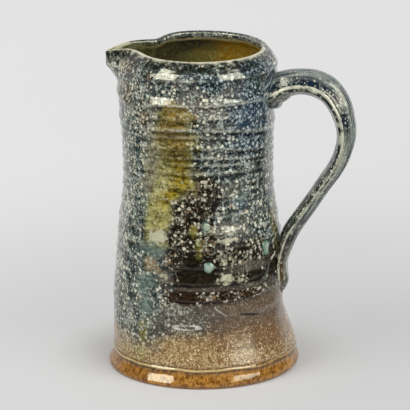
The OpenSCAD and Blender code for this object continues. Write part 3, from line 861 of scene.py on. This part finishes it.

# %% Rim, foot and finish
# The rim's shoulder, painted dark as the reflection of the dark room above it, the lip's throat
# and the worn arris, the foot's toasted band, its cream pooled line with a dark cut beside it,
# and the bare underside.
in_foot, bare = field("foot"), field("bare")
dribble = noise(420.0, 4.0, 0.65, stretched(1.0, 1.0, 0.7))
toast = mix(ramp(dribble, 0.36, 0.6), (0.13, 0.046, 0.004), (0.43, 0.2, 0.036))
colour = lay(colour, [
    # The rim's shoulder is painted dark as the reflection of the dark room above it, with a few beads
    # showing through.
    (field("shoulder") * ramp(middle, 0.45, 0.62, 1.0, 0.35), coarse,
     (0.003, 0.008, 0.006), (0.018, 0.018, 0.01)),
    (field("throat"), middle, (0.04, 0.045, 0.008), (0.13, 0.135, 0.045)),
    (worn("arris", 0.25, 0.55, 0.35), coarse, (0.54, 0.48, 0.3), (0.68, 0.67, 0.5)),
    (in_foot, mix(dust * 0.5, toast, (0.66, 0.46, 0.2))),
    (worn("pool", 0.3, 0.55, 0.5), (0.66, 0.58, 0.3)),
    (worn("cut", 0.35, 0.55, 0.35), (0.045, 0.022, 0.004)),
    (bare, fine, (0.32, 0.15, 0.05), (0.45, 0.24, 0.1)),
])
colour = put("HueSaturation", {"Value": ramp(fine, 0.25, 0.75, 0.75, 1.25), "Color": colour})
sandy = tan * (1.0 - in_foot)
calm = ramp(level, 0.16, 0.174, 1.0, 0.34)
height = (middle * 0.3 + (big_dome * 0.55 + small_dome * 0.35)) * (sandy * 5.0 + 1.0) * calm
glaze(colour, sandy * 0.1 + (bare * 0.5 + ramp(fine, 0.2, 0.8, 0.04, 0.12)), height, 0.016)
print("salt_glaze_wall has", len(tree.nodes), "nodes")

# %% [markdown]
# ## The thrown pot
#
# One closed skin runs from the middle of the underside, out to the foot, up the wall, over
# the rim, down the inside and back to the middle of the floor. Rows stand closer where the
# rings drop away, and columns closer at the lip.

# %% Levels of the pot
around_count, around_power, wall_rows_count = 352, 1.2, 158
crowding, fall_below, fall_wide = 1.6, 0.5, 1.3


def angles_round(count):
    """Angles from the lip round to the lip again, closer together near it."""
    u = np.arange(count) / count
    return lip_angle + 180 * np.where(u < 0.5, (2 * u) ** around_power, 2 - (2 - 2 * u) ** around_power)


def inside_levels():
    """The inside's rows in mm, down to the middle of the floor."""
    rows = []
    for share, r, out, drop in inside_shares:
        z = share * jug_h
        rows.append([z, r * foot_r if r else float(plain_r(z) - wall_t(z)), out * lip_out, drop * lip_drop])
    low = rows[-1][0]
    corner_r = float(plain_r(low) - wall_t(low))
    return np.array(rows + [[floor_t + h * jug_h, r * corner_r, 0, 0] for h, r in corner_shares])


rim_rows = np.array(rim_shares) * [jug_h, foot_r, lip_out, lip_drop]
foot_rows = np.array([[z * jug_h, r * foot_r, 0, 0] for z, r in foot_shares])
crowd = np.ones_like(ring_heights)
for share, _ in ring_shares:
    crowd += crowding * bell(ring_heights, share * jug_h - fall_below, fall_wide)
on_wall = (ring_heights >= foot_rows[-1, 0]) & (ring_heights <= rim_rows[0, 0])
travel = np.cumsum(crowd * on_wall)
even_travel = np.linspace(travel.min() + 1, travel.max(), wall_rows_count)
wall_z = np.interp(even_travel, travel[on_wall], ring_heights[on_wall])
lip_at = [curve(lip_shares, wall_z / jug_h, column) for column in (1, 2)]
wall_levels = np.stack([wall_z, plain_r(wall_z), lip_out * lip_at[0], lip_drop * lip_at[1]], axis=1)
under = np.array([[0, r * foot_r, 0, 0] for r in (0.3, 0.7, 0.9, 0.945)])
foot_levels = through(foot_rows, 3)
turned = through(np.vstack([wall_levels[-1:], rim_rows[1:], inside_levels()]), 3)[1:]
pot_levels = np.vstack([under, foot_levels, wall_levels[1:], turned])
print(len(pot_levels), "levels and", around_count, "angles")

# %% The pot's grid, and its rings as fields
# A crest is where the wall curls outward, and two rings are stronger than the rest. Glass pooled
# just under each ring, and in the four bands of the amber run.
around = angles_round(around_count)
pot_grid = pot_points(pot_levels, around)
pot_grid[:, :, 2] = np.maximum(pot_grid[:, :, 2], 0)
grid_z, grid_angle = np.broadcast_arrays(pot_levels[:, :1], turn(around))
level_number = np.arange(len(pot_levels))[:, None]
rim_start = len(under) + len(foot_levels) + len(wall_levels) - 1
above_table = level_number >= len(under)
rim_rows_outside = 9
outside = (level_number < rim_start + rim_rows_outside) & above_table
on_wall = up_step(0.09, 0.1, grid_z) * (level_number < rim_start)
sag = 1.1


def ring_curl(z, angle):
    """How far the wall stands proud of the mean of its two neighbours, a little higher and lower."""
    higher, lower = ring_relief(z + sag, angle), ring_relief(z - sag, angle)
    return ring_relief(z, angle) - (higher + lower) / 2


fields = wall_zones(grid_z, grid_angle)
read_z = grid_z + ring_wander(grid_z, grid_angle)
strong_ring = bell(read_z, 162.6, 0.8) + 0.7 * bell(read_z, 179.6, 0.7) * (grid_angle < -60)
weak_ring = 0.35 + 0.5 * step(-0.3, 0.9, wobble(pot_grid, 34, 61))
weak_ring = weak_ring * (0.8 + 0.2 * step(-125, -95, grid_angle))
beside_tail = between(grid_angle, -46, -40, 0, 8) * bell(grid_z, 70, 12)
curl = ring_curl(grid_z, grid_angle) * 3.2 * np.maximum(weak_ring, 0.8 * beside_tail)
crests = np.clip(curl + strong_ring * step(-110, -80, grid_angle), 0, 1)
fields["crest"] = crests * on_wall * step(57.5, 60, grid_z)
pool_below, pool_wide = 1.9, 1.2
pooled = np.zeros_like(ring_heights)
for share, bulge in ring_shares:
    pooled += min(1, 1.6 * bulge) * bell(ring_heights, share * jug_h - pool_below, pool_wide)
uneven = 0.45 + 0.55 * step(-0.5, 0.6, wobble(pot_grid, 30, 65))
uneven = uneven + 0.3 * band(grid_z, 128, 150, 8) * band(grid_angle, -84, -20, 14)
grooves = np.interp(read_z, ring_heights, pooled) * uneven + 0.8 * bell(read_z, 160.4, 0.8)
in_amber = between(grid_angle, -114, -104, -86, -80)
amber_bands = [(167, 1.7, 1), (158.9, 1.9, 1), (146.6, 2.0, 1), (140.5, 1.2, 0.7)]
banded = sum(strength * bell(read_z, high, wide) for high, wide, strength in amber_bands)
fields["groove"] = np.maximum(np.clip(grooves, 0, 1) * on_wall, np.clip(0.95 * banded * in_amber, 0, 1))
print(f"crests cover {fields['crest'].mean():.2f} of the grid, grooves {fields['groove'].mean():.2f}")

# %% Rim and foot fields, and the mesh
# The tilt turns from 0 on the upright wall through 90 on the rim's top to 180 inside.
climb = np.gradient(pot_levels[:, :2], axis=0)
on_rim = (level_number >= rim_start) & (grid_z > 0.9 * jug_h)
tilt = np.degrees(np.arctan2(-climb[:, 1], climb[:, 0]))[:, None] % 360 * on_rim
behind_lip = step(-0.1, 0.35, np.sin(np.radians(grid_angle)))
cream_from = 54 + 96 * behind_lip + 2.5 * wobble(pot_grid, 6, 62)
at_lip = bell(turn(grid_angle - lip_angle), 0, 26)
toward_handle = between(grid_angle, -45, -15, 25, 60)
throat = step(145 - 30 * at_lip, 165 - 35 * at_lip, tilt) * (1 - behind_lip * (1 - at_lip))
pool_line = 11.95
line_z = pool_line + 0.35 * wobble(pot_grid * [1, 1, 0], 22, 63)
line_there = 0.35 + 0.65 * (1 - between(grid_angle, -85, -45, 60, 120))
cut = np.maximum(bell(grid_z, line_z + 1.1, 0.3), bell(grid_z, line_z - 1.5, 0.9) * 0.85)
fields |= {
    "arris": between(tilt, cream_from - 10, cream_from + 5, 140 - 30 * at_lip, 165 - 35 * at_lip),
    # The rim's upward slope, painted dark as the reflection of the dark room above.
    "shoulder": between(tilt, 24, 38, cream_from - 6, cream_from + 6) * (1 - 0.6 * toward_handle),
    "throat": throat,
    "foot": outside * (1 - step(12.2, 13.6, grid_z)),
    "pool": bell(grid_z, line_z, 0.55) * outside * line_there,
    "cut": cut * outside,
    "bare": 1 - step(0.6, 1.6, grid_z) * above_table,
}
floor_z = pot_grid[-1, :, 2].mean()
pot_poles = [[0, 0, 0], [shift(floor_z), 0, floor_z]]
piece("thrown_pot", pot_grid, "thrown_body", wall_glaze, fields, pot_poles)

# %% [markdown]
# ## The liner
#
# The inside was glazed by pouring glass-making slip in and out again. It is a thin coat that
# starts just under the rim's arris. It is olive on the lip's side, where the lip's shade kept
# the iron green, and amber toward the handle.

# %% Liner material
liner_glass, tree, here = new_material("liner_glass")
coarse, middle = noise(90.0, 4.0), noise(500.0)
toward = along_axis("X")
warm = ramp((coarse - 0.5) * 0.05 + toward, -0.02, 0.022)
beads, _, domes = use(specks, here, 1.7, 0.3, 0.7, 0.5)
under_rim = worn("edge", 0.3, 0.6, 0.4) * ramp(toward, 0.015, -0.01, 0.15, 1.0)
washed = noise(330.0, point=stretched(1.0, 1.0, 2.5))
in_lip = field("in_lip")
colour = lay(mix(warm, (0.125, 0.12, 0.03), (0.29, 0.15, 0.002)), [
    (ramp(middle, 0.45, 0.75, 0.0, 0.6), (0.42, 0.36, 0.13)),
    (beads * 0.45, (0.55, 0.5, 0.22)),
    (under_rim, (0.035, 0.033, 0.02)),
    (field("salted"), ramp(washed, 0.44, 0.6), (0.025, 0.025, 0.014), (0.5, 0.45, 0.27)),
    (worn("line", 0.3, 0.5, 0.45), (0.52, 0.45, 0.24)),
    (in_lip, ramp(coarse, 0.4, 0.62), (0.02, 0.022, 0.003), (0.1, 0.098, 0.02)),
])
glaze(colour, in_lip * 0.3 + ramp(middle, 0.3, 0.8, 0.1, 0.2), domes * 0.4 + middle, 0.06)
print("liner_glass has", len(tree.nodes), "nodes")

# %% Liner mesh
liner_around = angles_round(256)
under_coat = through(inside_levels(), 5)
across_coat = heading(under_coat)[:, ::-1] * [-1, 1]
coat = under_coat.copy()
coat[:, :2] += (liner_t * step(-1, 9, np.arange(len(under_coat))))[:, None] * across_coat
coat_levels = np.vstack([under_coat[::-1], coat])
liner_grid = pot_points(coat_levels, liner_around, relief=False)
ring_swell, ring_gap = 0.12, 6.3
inner_rings = ring_swell * np.sin(2 * np.pi * coat_levels[:, 0] / ring_gap) * step(20, 40, coat_levels[:, 0])
inner_rings[: len(under_coat)] = 0
liner_grid[..., :2] += inner_rings[:, None, None] * outward(liner_around)
coat_z, coat_angle = np.broadcast_arrays(coat_levels[:, :1], turn(liner_around))
coat_line = 200.0
line_z = coat_line + 0.3 * wobble(liner_grid * [1, 1, 0], 18, 64)
off_lip = 1 - bell(turn(coat_angle - lip_angle), 0, 26)
fold_line = 0.3 * bell(coat_angle, 152, 1.6) * step(188, 192, coat_z)
edge = bell(coat_z, 196.5, 4.5) + bell(coat_angle, 132, 22) * step(172, 190, coat_z)
fields = {
    "edge": np.clip(edge, 0, 1) * off_lip,
    "salted": step(line_z, line_z + 0.6, coat_z) * off_lip,
    "in_lip": 0.8 * bell(turn(coat_angle - lip_angle), 0, 30) * step(183, 193, coat_z),
    "line": np.maximum(bell(coat_z, line_z, 0.55) * off_lip, fold_line),
}
liner_poles = [[shift(z), 0, z] for z in liner_grid[[0, -1], :, 2].mean(axis=1)]
piece("poured_liner", liner_grid, "liner_glaze", liner_glass, fields, liner_poles)

# %% [markdown]
# ## The strap handle
#
# A handle is pulled from a lump of wet clay with a wet hand, so every line on it runs along
# it: a broad rib in the middle, a groove for each side of the thumb and a raised edge. Its
# section is carried along a smooth middle line, and the tail is wrapped round the wall.

# %% Strap shares
# A row is a height, how far out from the wall to the reach, a half thickness and a half width,
# each as a share. The outline's rows are how far across and how thick, as shares of those halves.
strap_shares = [
    [0.873, -0.09, 1.03, 0.62], [0.883, 0.045, 0.92, 0.59], [0.897, 0.179, 0.79, 0.56],
    [0.904, 0.36, 0.76, 0.545], [0.9, 0.565, 0.77, 0.535], [0.878, 0.765, 0.75, 0.525],
    [0.838, 0.905, 0.7, 0.515], [0.788, 0.98, 0.62, 0.51], [0.737, 1, 0.57, 0.5],
    [0.688, 0.951, 0.53, 0.49], [0.634, 0.843, 0.51, 0.485], [0.58, 0.68, 0.49, 0.47],
    [0.526, 0.515, 0.49, 0.46], [0.473, 0.327, 0.5, 0.46], [0.427, 0.178, 0.5, 0.475],
    [0.383, 0.1, 0.43, 0.5], [0.332, 0.045, 0.27, 0.5], [0.279, 0.04, 0.29, 0.42],
    [0.249, -0.008, 0.24, 0.3], [0.222, -0.09, 0.12, 0.18],
]
strap_outer_shares = [
    [0, 1], [0.24, 0.95], [0.42, 0.74], [0.57, 0.38], [0.69, 0.08], [0.79, 0.0], [0.91, 0.06], [1, -0.14],
]
strap_inner_shares = [[0.98, -0.36], [0.88, -0.48], [0.7, -0.64], [0.4, -0.88], [0, -1]]
tail_from, tail_to, farthest_row = 14, 17, 8
strap_steps, section_steps, pressed_in, strap_uneven = 14, 5, 0.8, 0.12


# %% Strap grid
def rest_on_wall(points, depth):
    """Points deeper than depth under the wall are moved out to that depth, along the radius."""
    x, y, z = points[..., 0] - shift(points[..., 2]), points[..., 1], points[..., 2]
    angle = np.degrees(np.arctan2(y, x))
    return on_pot(np.maximum(np.hypot(x, y), wall_radius(z, angle) - depth), angle, z)


strap_far = handle_reach - strap_t * strap_shares[farthest_row][2]
strap_rows = []
for share, out, half_t, half_w in strap_shares:
    z = share * jug_h
    wall_x = float(shift(z) + plain_r(z))
    strap_rows.append([wall_x + out * (strap_far - wall_x), z, half_t * strap_t, half_w * strap_w])
middle_line = through(strap_rows, strap_steps)
away = heading(middle_line)[:, ::-1] * [-1, 1]
left = [[-w, t] for w, t in strap_outer_shares[:0:-1]]
right_inner = [[-w, t] for w, t in strap_inner_shares[-2::-1]]
outline = through(left + strap_outer_shares + strap_inner_shares + right_inner, section_steps, closed=True)
outer_side = np.arange(len(outline)) <= section_steps * (len(left) + len(strap_outer_shares) - 1) + 1
wrap = step(tail_from, tail_to, np.arange(len(middle_line)) / strap_steps)[:, None]
line_x, line_up, half_t, half_w = (middle_line[:, k, None] for k in range(4))
across = outline[None, :, 0] * half_w
lift = outline[None, :, 1] * half_t - wrap * across**2 / (2 * plain_r(line_up))
strap_grid = np.stack([line_x + away[:, :1] * lift, across, line_up + away[:, 1:] * lift], axis=-1)
strap_grid += strap_uneven * wobble(strap_grid, 16, 31)[..., None] * np.array([0.7, 0.5, 0.3])
strap_grid = rest_on_wall(strap_grid, pressed_in)
length = np.append(0, np.cumsum(np.linalg.norm(np.diff(middle_line[:, :2], axis=0), axis=1)))
print(f"strap is {length[-1]:.0f} mm long, {strap_grid.shape[1]} points round")

# %% Handle material
# The streaks follow the pull: the mesh has a map of how far across and how far along it is.
handle_glaze, tree, here = new_material("salt_glaze_handle")
coarse, middle, level = noise(150.0, 4.0), noise(500.0), along_axis("Z")
streak = noise(1.0, point=vector("MULTIPLY", put("UVMap", uv_map="pulled"), (12.0, 2.6, 1.0)))
hollow, inner, rib = field("hollow"), field("inner"), field("rib")
beads, chance, domes = use(specks, here, 1.6, coarse * 1.6 - 0.35, 0.9, 0.45)
pale_run = ramp(level, 0.165, 0.142) * ramp(level, 0.084, 0.104, 0.0, 0.8) * hollow * ramp(streak, 0.36, 0.5)
drawn = inner * ramp(coarse * 0.4 + streak, 0.74, 0.82)
broken = ramp(level, 0.085, 0.07) * ramp(coarse, 0.52, 0.44)
# The pale line along the strap's raised edges is partly cream glaze and partly a painted highlight of the
# lamps.
ridge = field("ridge") * ramp(middle + coarse, 0.8, 1.05, 0.35, 1.0) * (0.95 - broken * 0.9)
colour = lay(mix(ramp(coarse, 0.38, 0.62), (0.008, 0.016, 0.02), (0.045, 0.06, 0.06)), [
    (hollow, coarse, (0.002, 0.005, 0.01), (0.008, 0.022, 0.042)),
    (ramp(level, 0.1, 0.06), coarse, (0.018, 0.01, 0.004), (0.13, 0.075, 0.02)),
    (ramp(streak, 0.42, 0.54) * rib * 0.8, coarse, (0.13, 0.17, 0.19), (0.42, 0.43, 0.36)),
    (pale_run, coarse, (0.28, 0.31, 0.25), (0.52, 0.53, 0.42)),
    (inner * 0.75, coarse, (0.004, 0.009, 0.008), (0.02, 0.03, 0.024)),
    (drawn * 0.8, (0.4, 0.42, 0.3)),
    (beads * (rib * -0.35 + 0.7), chance, bead_cool, bead_warm),
    (ridge, coarse, (0.46, 0.46, 0.34), (0.68, 0.67, 0.52)),
    (ramp(level, 0.062, 0.054, 0.0, 0.9), beads, (0.085, 0.072, 0.062), (0.55, 0.53, 0.45)),
])
glaze(colour, ramp(middle, 0.2, 0.8, 0.06, 0.16), domes * 0.3 + (streak * 2.0 + middle), 0.07)
print("salt_glaze_handle has", len(tree.nodes), "nodes")

# %% Handle mesh
section = np.abs(outline[:, 0])
fields = {
    "ridge": bell(section, 0.93, 0.1, 4) * outer_side,
    "hollow": bell(section, 0.66, 0.17, 4) * outer_side,
    "inner": 1.0 * ~outer_side,
    "rib": (1 - step(0.4, 0.62, section)) * outer_side,
}
strap = piece("strap_handle", strap_grid[::-1], "handle", handle_glaze, fields)
uv_layer = strap.data.uv_layers.new(name="pulled")
corner = np.zeros(len(strap.data.loops), int)
strap.data.loops.foreach_get("vertex_index", corner)
u_across, v_along = np.broadcast_arrays(section, length[::-1, None] / 100)
u_across, v_along = np.append(u_across, [0, 0]), np.append(v_along, [length[-1] / 100, 0])
uv_layer.data.foreach_set("uv", np.stack([u_across, v_along], -1)[corner].astype(np.float32).ravel())

# %% [markdown]
# ## Clay added at the two joints
#
# A pulled handle is held at its root by a thin roll of clay pushed in under it, and at its
# tail by clay that the thumb wiped out to both sides. The roll is a tube that rises toward its
# ends. The wiped clay is thick along a raised rim and thin in the thumb's hollow. It has the
# wall's own glaze, because it lies on the wall like a second skin.

# %% Joint material
join_glaze, tree, here = new_material("salt_glaze_joint")
coarse, middle = noise(180.0, 4.0), noise(600.0)
beads, _, domes = use(specks, here, 1.4, 0.4, 0.85, 0.45)
colour = lay(mix(ramp(coarse, 0.36, 0.64), (0.006, 0.016, 0.03), (0.05, 0.075, 0.075)), [
    (beads * 0.7, (0.42, 0.43, 0.34)),
    (worn("ridge", 0.25, 0.65, 0.3) * 0.6, (0.3, 0.28, 0.23)),
])
glaze(colour, ramp(middle, 0.2, 0.8, 0.08, 0.2), domes * 0.4 + middle, 0.05)
print("salt_glaze_joint has", len(tree.nodes), "nodes")

# %% The roll under the root
coil_half_angle, coil_mid, coil_end, coil_proud, coil_tip = 15.5, 0.834, 0.862, 0.4, 0.12
coil_rings, coil_sides, coil_uneven = 72, 40, 0.1


def coil_middle(t):
    """The roll's middle line: it follows the wall round, and rises as the square of the way to its ends."""
    angle = coil_half_angle * t
    z = jug_h * (coil_mid + (coil_end - coil_mid) * t**2)
    return on_pot(wall_radius(z, angle) + coil_proud * coil_r, angle, z)


def unit(vectors):
    """Each vector divided by its own length."""
    return vectors / np.linalg.norm(vectors, axis=1)[:, None]


t = np.linspace(1, -1, coil_rings)
side = unit(coil_middle(t + 1 / coil_rings) - coil_middle(t - 1 / coil_rings))
up_side = unit(np.array([0, 0, 1]) - side * side[:, 2:])
out_side = np.cross(side, up_side)
blunt = np.maximum(coil_tip, np.sqrt(np.maximum(1 - np.abs(t) ** 6, 0)))
thick = coil_r * blunt * (1 - 0.14 * bell(np.abs(t), 0.7, 0.05))
a = np.linspace(0, 2 * np.pi, coil_sides, endpoint=False)
ring = np.cos(a)[None, :, None] * out_side[:, None] + np.sin(a)[None, :, None] * up_side[:, None]
coil_grid = coil_middle(t)[:, None] + thick[:, None, None] * ring
coil_grid += coil_uneven * wobble(coil_grid, 6, 41)[..., None] * ring
ridge = np.maximum(bell(np.degrees(a)[None, :], 30, 30), bell(np.abs(t[:, None]), 0.82, 0.09))
piece("upper_coil", coil_grid, "upper_join_coil", join_glaze, {"ridge": ridge})

# %% The clay wiped out at the tail
# The pad is a sheet that lies on the wall and a second one buried in it: w runs up the pad and v
# across it. Where it fades out, the upper sheet sinks into the wall.
pad_mid, pad_half, pad_half_angle, pad_hollow, pad_buried = 0.336, 0.124, 27.0, 0.45, 1.0
pad_rim_at, pad_rim_spread, pad_rim_share = 0.78, 0.16, 0.6
pad_sink, pad_uneven = 0.2, 0.14
pad_wide_shares = [[-1, 0.36], [-0.7, 0.78], [-0.3, 1], [0.1, 0.86], [0.5, 0.6], [0.8, 0.46], [1, 0.34]]
w = np.linspace(-1, 1, 90)[:, None]
v = np.linspace(-1, 1, 120)[None, :]
pad_z = jug_h * (pad_mid + pad_half * w) + 0 * v
pad_angle = pad_half_angle * v * curve(pad_wide_shares, w, 1)
fade = 1 - step(0.5, 1, np.maximum(np.abs(v), np.abs(w)))
rim = bell(np.abs(v), pad_rim_at, pad_rim_spread)
lift = pad_t * fade * (pad_hollow + (1 - pad_hollow) * pad_rim_share * rim) - pad_sink * (1 - fade)
lift += pad_uneven * wobble(np.stack([pad_z, pad_angle * 0.9, 0 * pad_z], -1), 9, 51) * fade
pad_wall = wall_radius(pad_z, pad_angle)
top = on_pot(pad_wall + lift, pad_angle, pad_z)
under_side = on_pot(pad_wall - pad_buried, pad_angle, pad_z)
pad_grid = np.concatenate([top, under_side[:, ::-1]], axis=1)
fields = wall_zones(pad_z, pad_angle)
pad_curl = ring_curl(pad_z, pad_angle)
fields |= {"crest": np.clip(pad_curl * 3, 0, 0.8), "groove": np.clip(pad_curl * -4, 0, 1)}
fields = {name: np.concatenate([values, 0 * values], axis=1) for name, values in fields.items()}
piece("thumbed_clay", pad_grid, "lower_join_pad", wall_glaze, fields)

# %% [markdown]
# ## Drops from the kiln's roof
#
# Salt glass gathers on the kiln's roof and falls in drops. A drop that lands on a wall runs a
# little way down and stays as a smooth dome of pale turquoise glass, thick in the middle.
# One of the four is all iron, so it is olive.

# %% Drop material
drop_glass, tree, here = new_material("drop_glass")
coarse, fine, iron = noise(240.0, 3.0, 0.5), noise(1800.0, 2.0, 0.5), field("iron")
torn = (coarse - 0.5) * 0.9 + field("dome")
colour = lay((0.018, 0.022, 0.014), [
    (ramp(torn, 0.1, 0.6), iron, (0.125, 0.235, 0.18), (0.13, 0.13, 0.02)),
    (ramp(torn, 0.6, 0.98, 0.0, 0.9), iron, (0.38, 0.46, 0.38), (0.4, 0.41, 0.19)),
    (ramp(fine, 0.55, 0.7, 0.0, 0.3), (0.55, 0.6, 0.52)),
])
glaze(colour, ramp(fine, 0.2, 0.8, 0.04, 0.12), fine, 0.012)
print("drop_glass has", len(tree.nodes), "nodes")

# %% Drops
# A row is a name, a height share, an angle, a size, how far it ran down and its share of iron.
# The first ring of each drop is a root in the wall, and the others are the dome.
drop_rows = [
    ("drop_beside_tail", 0.411, -24.2, 1.12, 1.55, 0.1), ("drop_low_front", 0.376, -71.3, 1.0, 1.1, 0.0),
    ("drop_high_front", 0.5, -72.4, 0.72, 1.45, 0.3), ("drop_high_left", 0.452, -79.0, 0.42, 1.5, 1.0),
]
drop_rings, drop_sides, drop_root, steepest = 24, 64, 0.8, 86
a = np.linspace(0, 2 * np.pi, drop_sides, endpoint=False)[None, :]
dome_angle = np.radians(np.append(0, np.linspace(0, steepest, drop_rings - 1)))[:, None]
high = np.sin(dome_angle)
high[0] = -drop_root
dome = np.clip(high, 0, 1)
for number, (name, share, bearing, size, fall, iron_share) in enumerate(drop_rows):
    uneven = 1 + 0.06 * np.sin(3 * a + number) + 0.04 * np.sin(5 * a + 2 * number)
    wide = drip_r * size * np.cos(dome_angle) * uneven
    up_by = wide * np.sin(a) * np.where(np.sin(a) < 0, fall, 1)
    base_z = share * jug_h
    angle = bearing + np.degrees(wide * np.cos(a) / plain_r(base_z))
    out = wall_radius(base_z + up_by, angle) * (1 - dome) + dome * wall_radius(base_z, bearing)
    grid = on_pot(out + drip_t * size * high, angle, base_z)
    grid[..., 2] += up_by
    piece(name, grid, "glaze_drips", drop_glass, {"dome": dome, "iron": iron_share})

# %% [markdown]
# ## Floor, light and camera
#
# The jug stands on a pale floor between two large soft lights, one on each side of the
# camera. They show as soft bright windows on the collar and the foot. The camera stands well
# back, so that the jug looks as upright as it does through a long lens.

# %% Floor
# Near the jug the floor is lit paper with the jug's shadow on it, and farther off it glows
# for rays from the camera and from mirrors, with painted light: brighter farther off and toward
# the left, and brighter on the right in the glaze's reflections. The table ends a hand's width
# from the jug except behind it, so the glaze reflects the dark room there.
floor_half, floor_segments = 9.0, 96
away_from_camera, to_the_right = (-0.208, 0.978, 0.0), (0.978, 0.208, 0.0)
ring = floor_half * outward(np.arange(floor_segments) * 360 / floor_segments)
floor_mesh = bpy.data.meshes.new("studio_floor")
floor_mesh.from_pydata([(x, y, 0) for x, y in ring.tolist()], [], [list(range(floor_segments))])
floor = new_object("studio_floor", floor_mesh)


def rays():
    """Whether a ray comes straight from the camera or by gloss or glass, and whether by gloss."""
    kinds = add("LightPath").outputs
    glossy = Wire(kinds["Is Glossy Ray"])
    bounced = glossy + Wire(kinds["Is Transmission Ray"])
    return calc("ADD", Wire(kinds["Is Camera Ray"]), bounced, clamp=True), glossy


paper, tree, here = new_material("pale_paper")
lit_paper = tree.nodes["Principled BSDF"]
for name, value in (("Base Color", (0.67, 0.67, 0.667)), ("Roughness", 0.9), ("Specular IOR Level", 0.0)):
    fill(lit_paper.inputs[name], value)
far_off = vector("LENGTH", here)
toward = vector("NORMALIZE", here)
rear, side_on = (vector("DOT_PRODUCT", toward, way) for way in (away_from_camera, to_the_right))
seen, glossy = rays()
# The glow is painted light: brighter farther from the jug and toward the left, and stronger for mirror rays
# on the right.
painted_light_sweep = side_on * -0.045 + ramp(far_off, 0.08, 0.5, 0.66, 0.765)
lit_more = glossy * ramp(side_on, -0.1, 0.3, 0.0, 0.4)
glow = put("Emission", {"Color": mix(painted_light_sweep, (0.0, 0.0, 0.0), (1.0, 1.0, 0.997)), "Strength": lit_more + 1.0})
paper_lit = ramp(far_off, 0.05, 0.11, 0.0, 0.68) + ramp(far_off, 0.12, 0.4, 0.0, 0.32)
fade = largest(glossy * ramp(far_off, 0.1, 0.25), seen * paper_lit)
table = put("MixShader", {0: fade, 1: Wire(lit_paper.outputs[0]), 2: glow})
past_edge = glossy * ramp(far_off, 0.1, 0.22, 0.0, 0.92) * ramp(rear, 0.62, 0.3)
dark_room = put("Emission", {"Color": (0.02, 0.02, 0.02)})
surface = put("MixShader", {0: past_edge, 1: table, 2: dark_room})
fill(tree.nodes["Material Output"].inputs["Surface"], surface)
floor_mesh.materials.append(paper)
print("floor", 2 * floor_half, "m across")


# %% Camera
def direction(azimuth, elevation):
    """The unit vector from the jug toward a place that is azimuth round from the front and elevation up."""
    a, e = np.radians(azimuth), np.radians(elevation)
    return Vector((np.sin(a) * np.cos(e), -np.cos(a) * np.cos(e), np.sin(e)))


view_azimuth, view_elevation, view_roll = 12, 16.49, np.radians(-0.455)
view_far, frame_pixels, focal_pixels, sensor_mm = 2.4, 410, 3819.4, 36.0
aim_right, aim_up = 0.00198, 0.10215
back = direction(view_azimuth, view_elevation)
level_right = direction(view_azimuth + 90, 0)
aim = level_right * aim_right + Vector((0, 0, aim_up))
level_up = back.cross(level_right)
right = level_right * np.cos(view_roll) + level_up * np.sin(view_roll)
up = level_up * np.cos(view_roll) - level_right * np.sin(view_roll)
camera_data = bpy.data.cameras.new("studio_camera")
camera_data.sensor_width = sensor_mm
camera_data.lens = sensor_mm * focal_pixels / frame_pixels
camera_data.clip_end = 50
camera = new_object("studio_camera", camera_data)
place = Matrix((right, up, back)).transposed().to_4x4()
place.translation = aim + back * view_far
camera.matrix_world = place
bpy.context.scene.camera = camera
print(f"camera {view_far} m away, lens {camera_data.lens:.0f} mm")

# %% Lights
# A row is a name, degrees round from the camera, degrees up, width, height, radiance and
# whether the glaze shows it. The fills light the clay and the windows are only reflected.
light_far, window_colour = 2.0, (1.0, 0.965, 0.76)
for name, bearing, rise, wide, tall, radiance, is_window in (
    ("left_fill", -55.5, 42, 1.18, 1.26, 4.0, False),
    ("right_fill", 43, 42, 1.95, 1.26, 3.6, False),
    ("left_window", -57.5, 29, 1.02, 1.54, 13.2, True),
    ("right_window", 52, 29, 1.25, 1.54, 9.3, True),
):
    away = direction(view_azimuth + bearing, rise)
    data = bpy.data.lights.new(name, "AREA")
    data.shape, data.size, data.size_y = "RECTANGLE", wide, tall
    data.energy = radiance * np.pi * wide * tall
    lamp = new_object(name, data)
    turned_to_jug = away.to_track_quat("Z", "Y").to_matrix().to_4x4()
    lamp.matrix_world = Matrix.Translation(aim + away * light_far) @ turned_to_jug
    lamp.visible_camera = False
    lamp.visible_glossy, lamp.visible_diffuse = is_window, not is_window
    if is_window:
        data.color = window_colour
    print(f"{name}: {data.energy:.0f} W")

# %% World and view
# Only behind the jug is the backdrop pale in the glaze: the rest of the room is dark.
world = bpy.data.worlds.new("studio_world")
world.use_nodes = True
tree = world.node_tree
background = tree.nodes["Background"]
background.inputs["Color"].default_value = (0.8, 0.8, 0.795, 1)
seen, glossy = rays()
rear = vector("DOT_PRODUCT", put("TexCoord", output="Generated"), away_from_camera)
dim = glossy * ramp(rear, 0.7, 0.35, 0.0, 0.9)
fill(background.inputs["Strength"], (seen * 0.55 + 0.42) - dim)
bpy.context.scene.world = world
bpy.context.scene.view_settings.view_transform = "Standard"
print("world has", len(tree.nodes), "nodes")
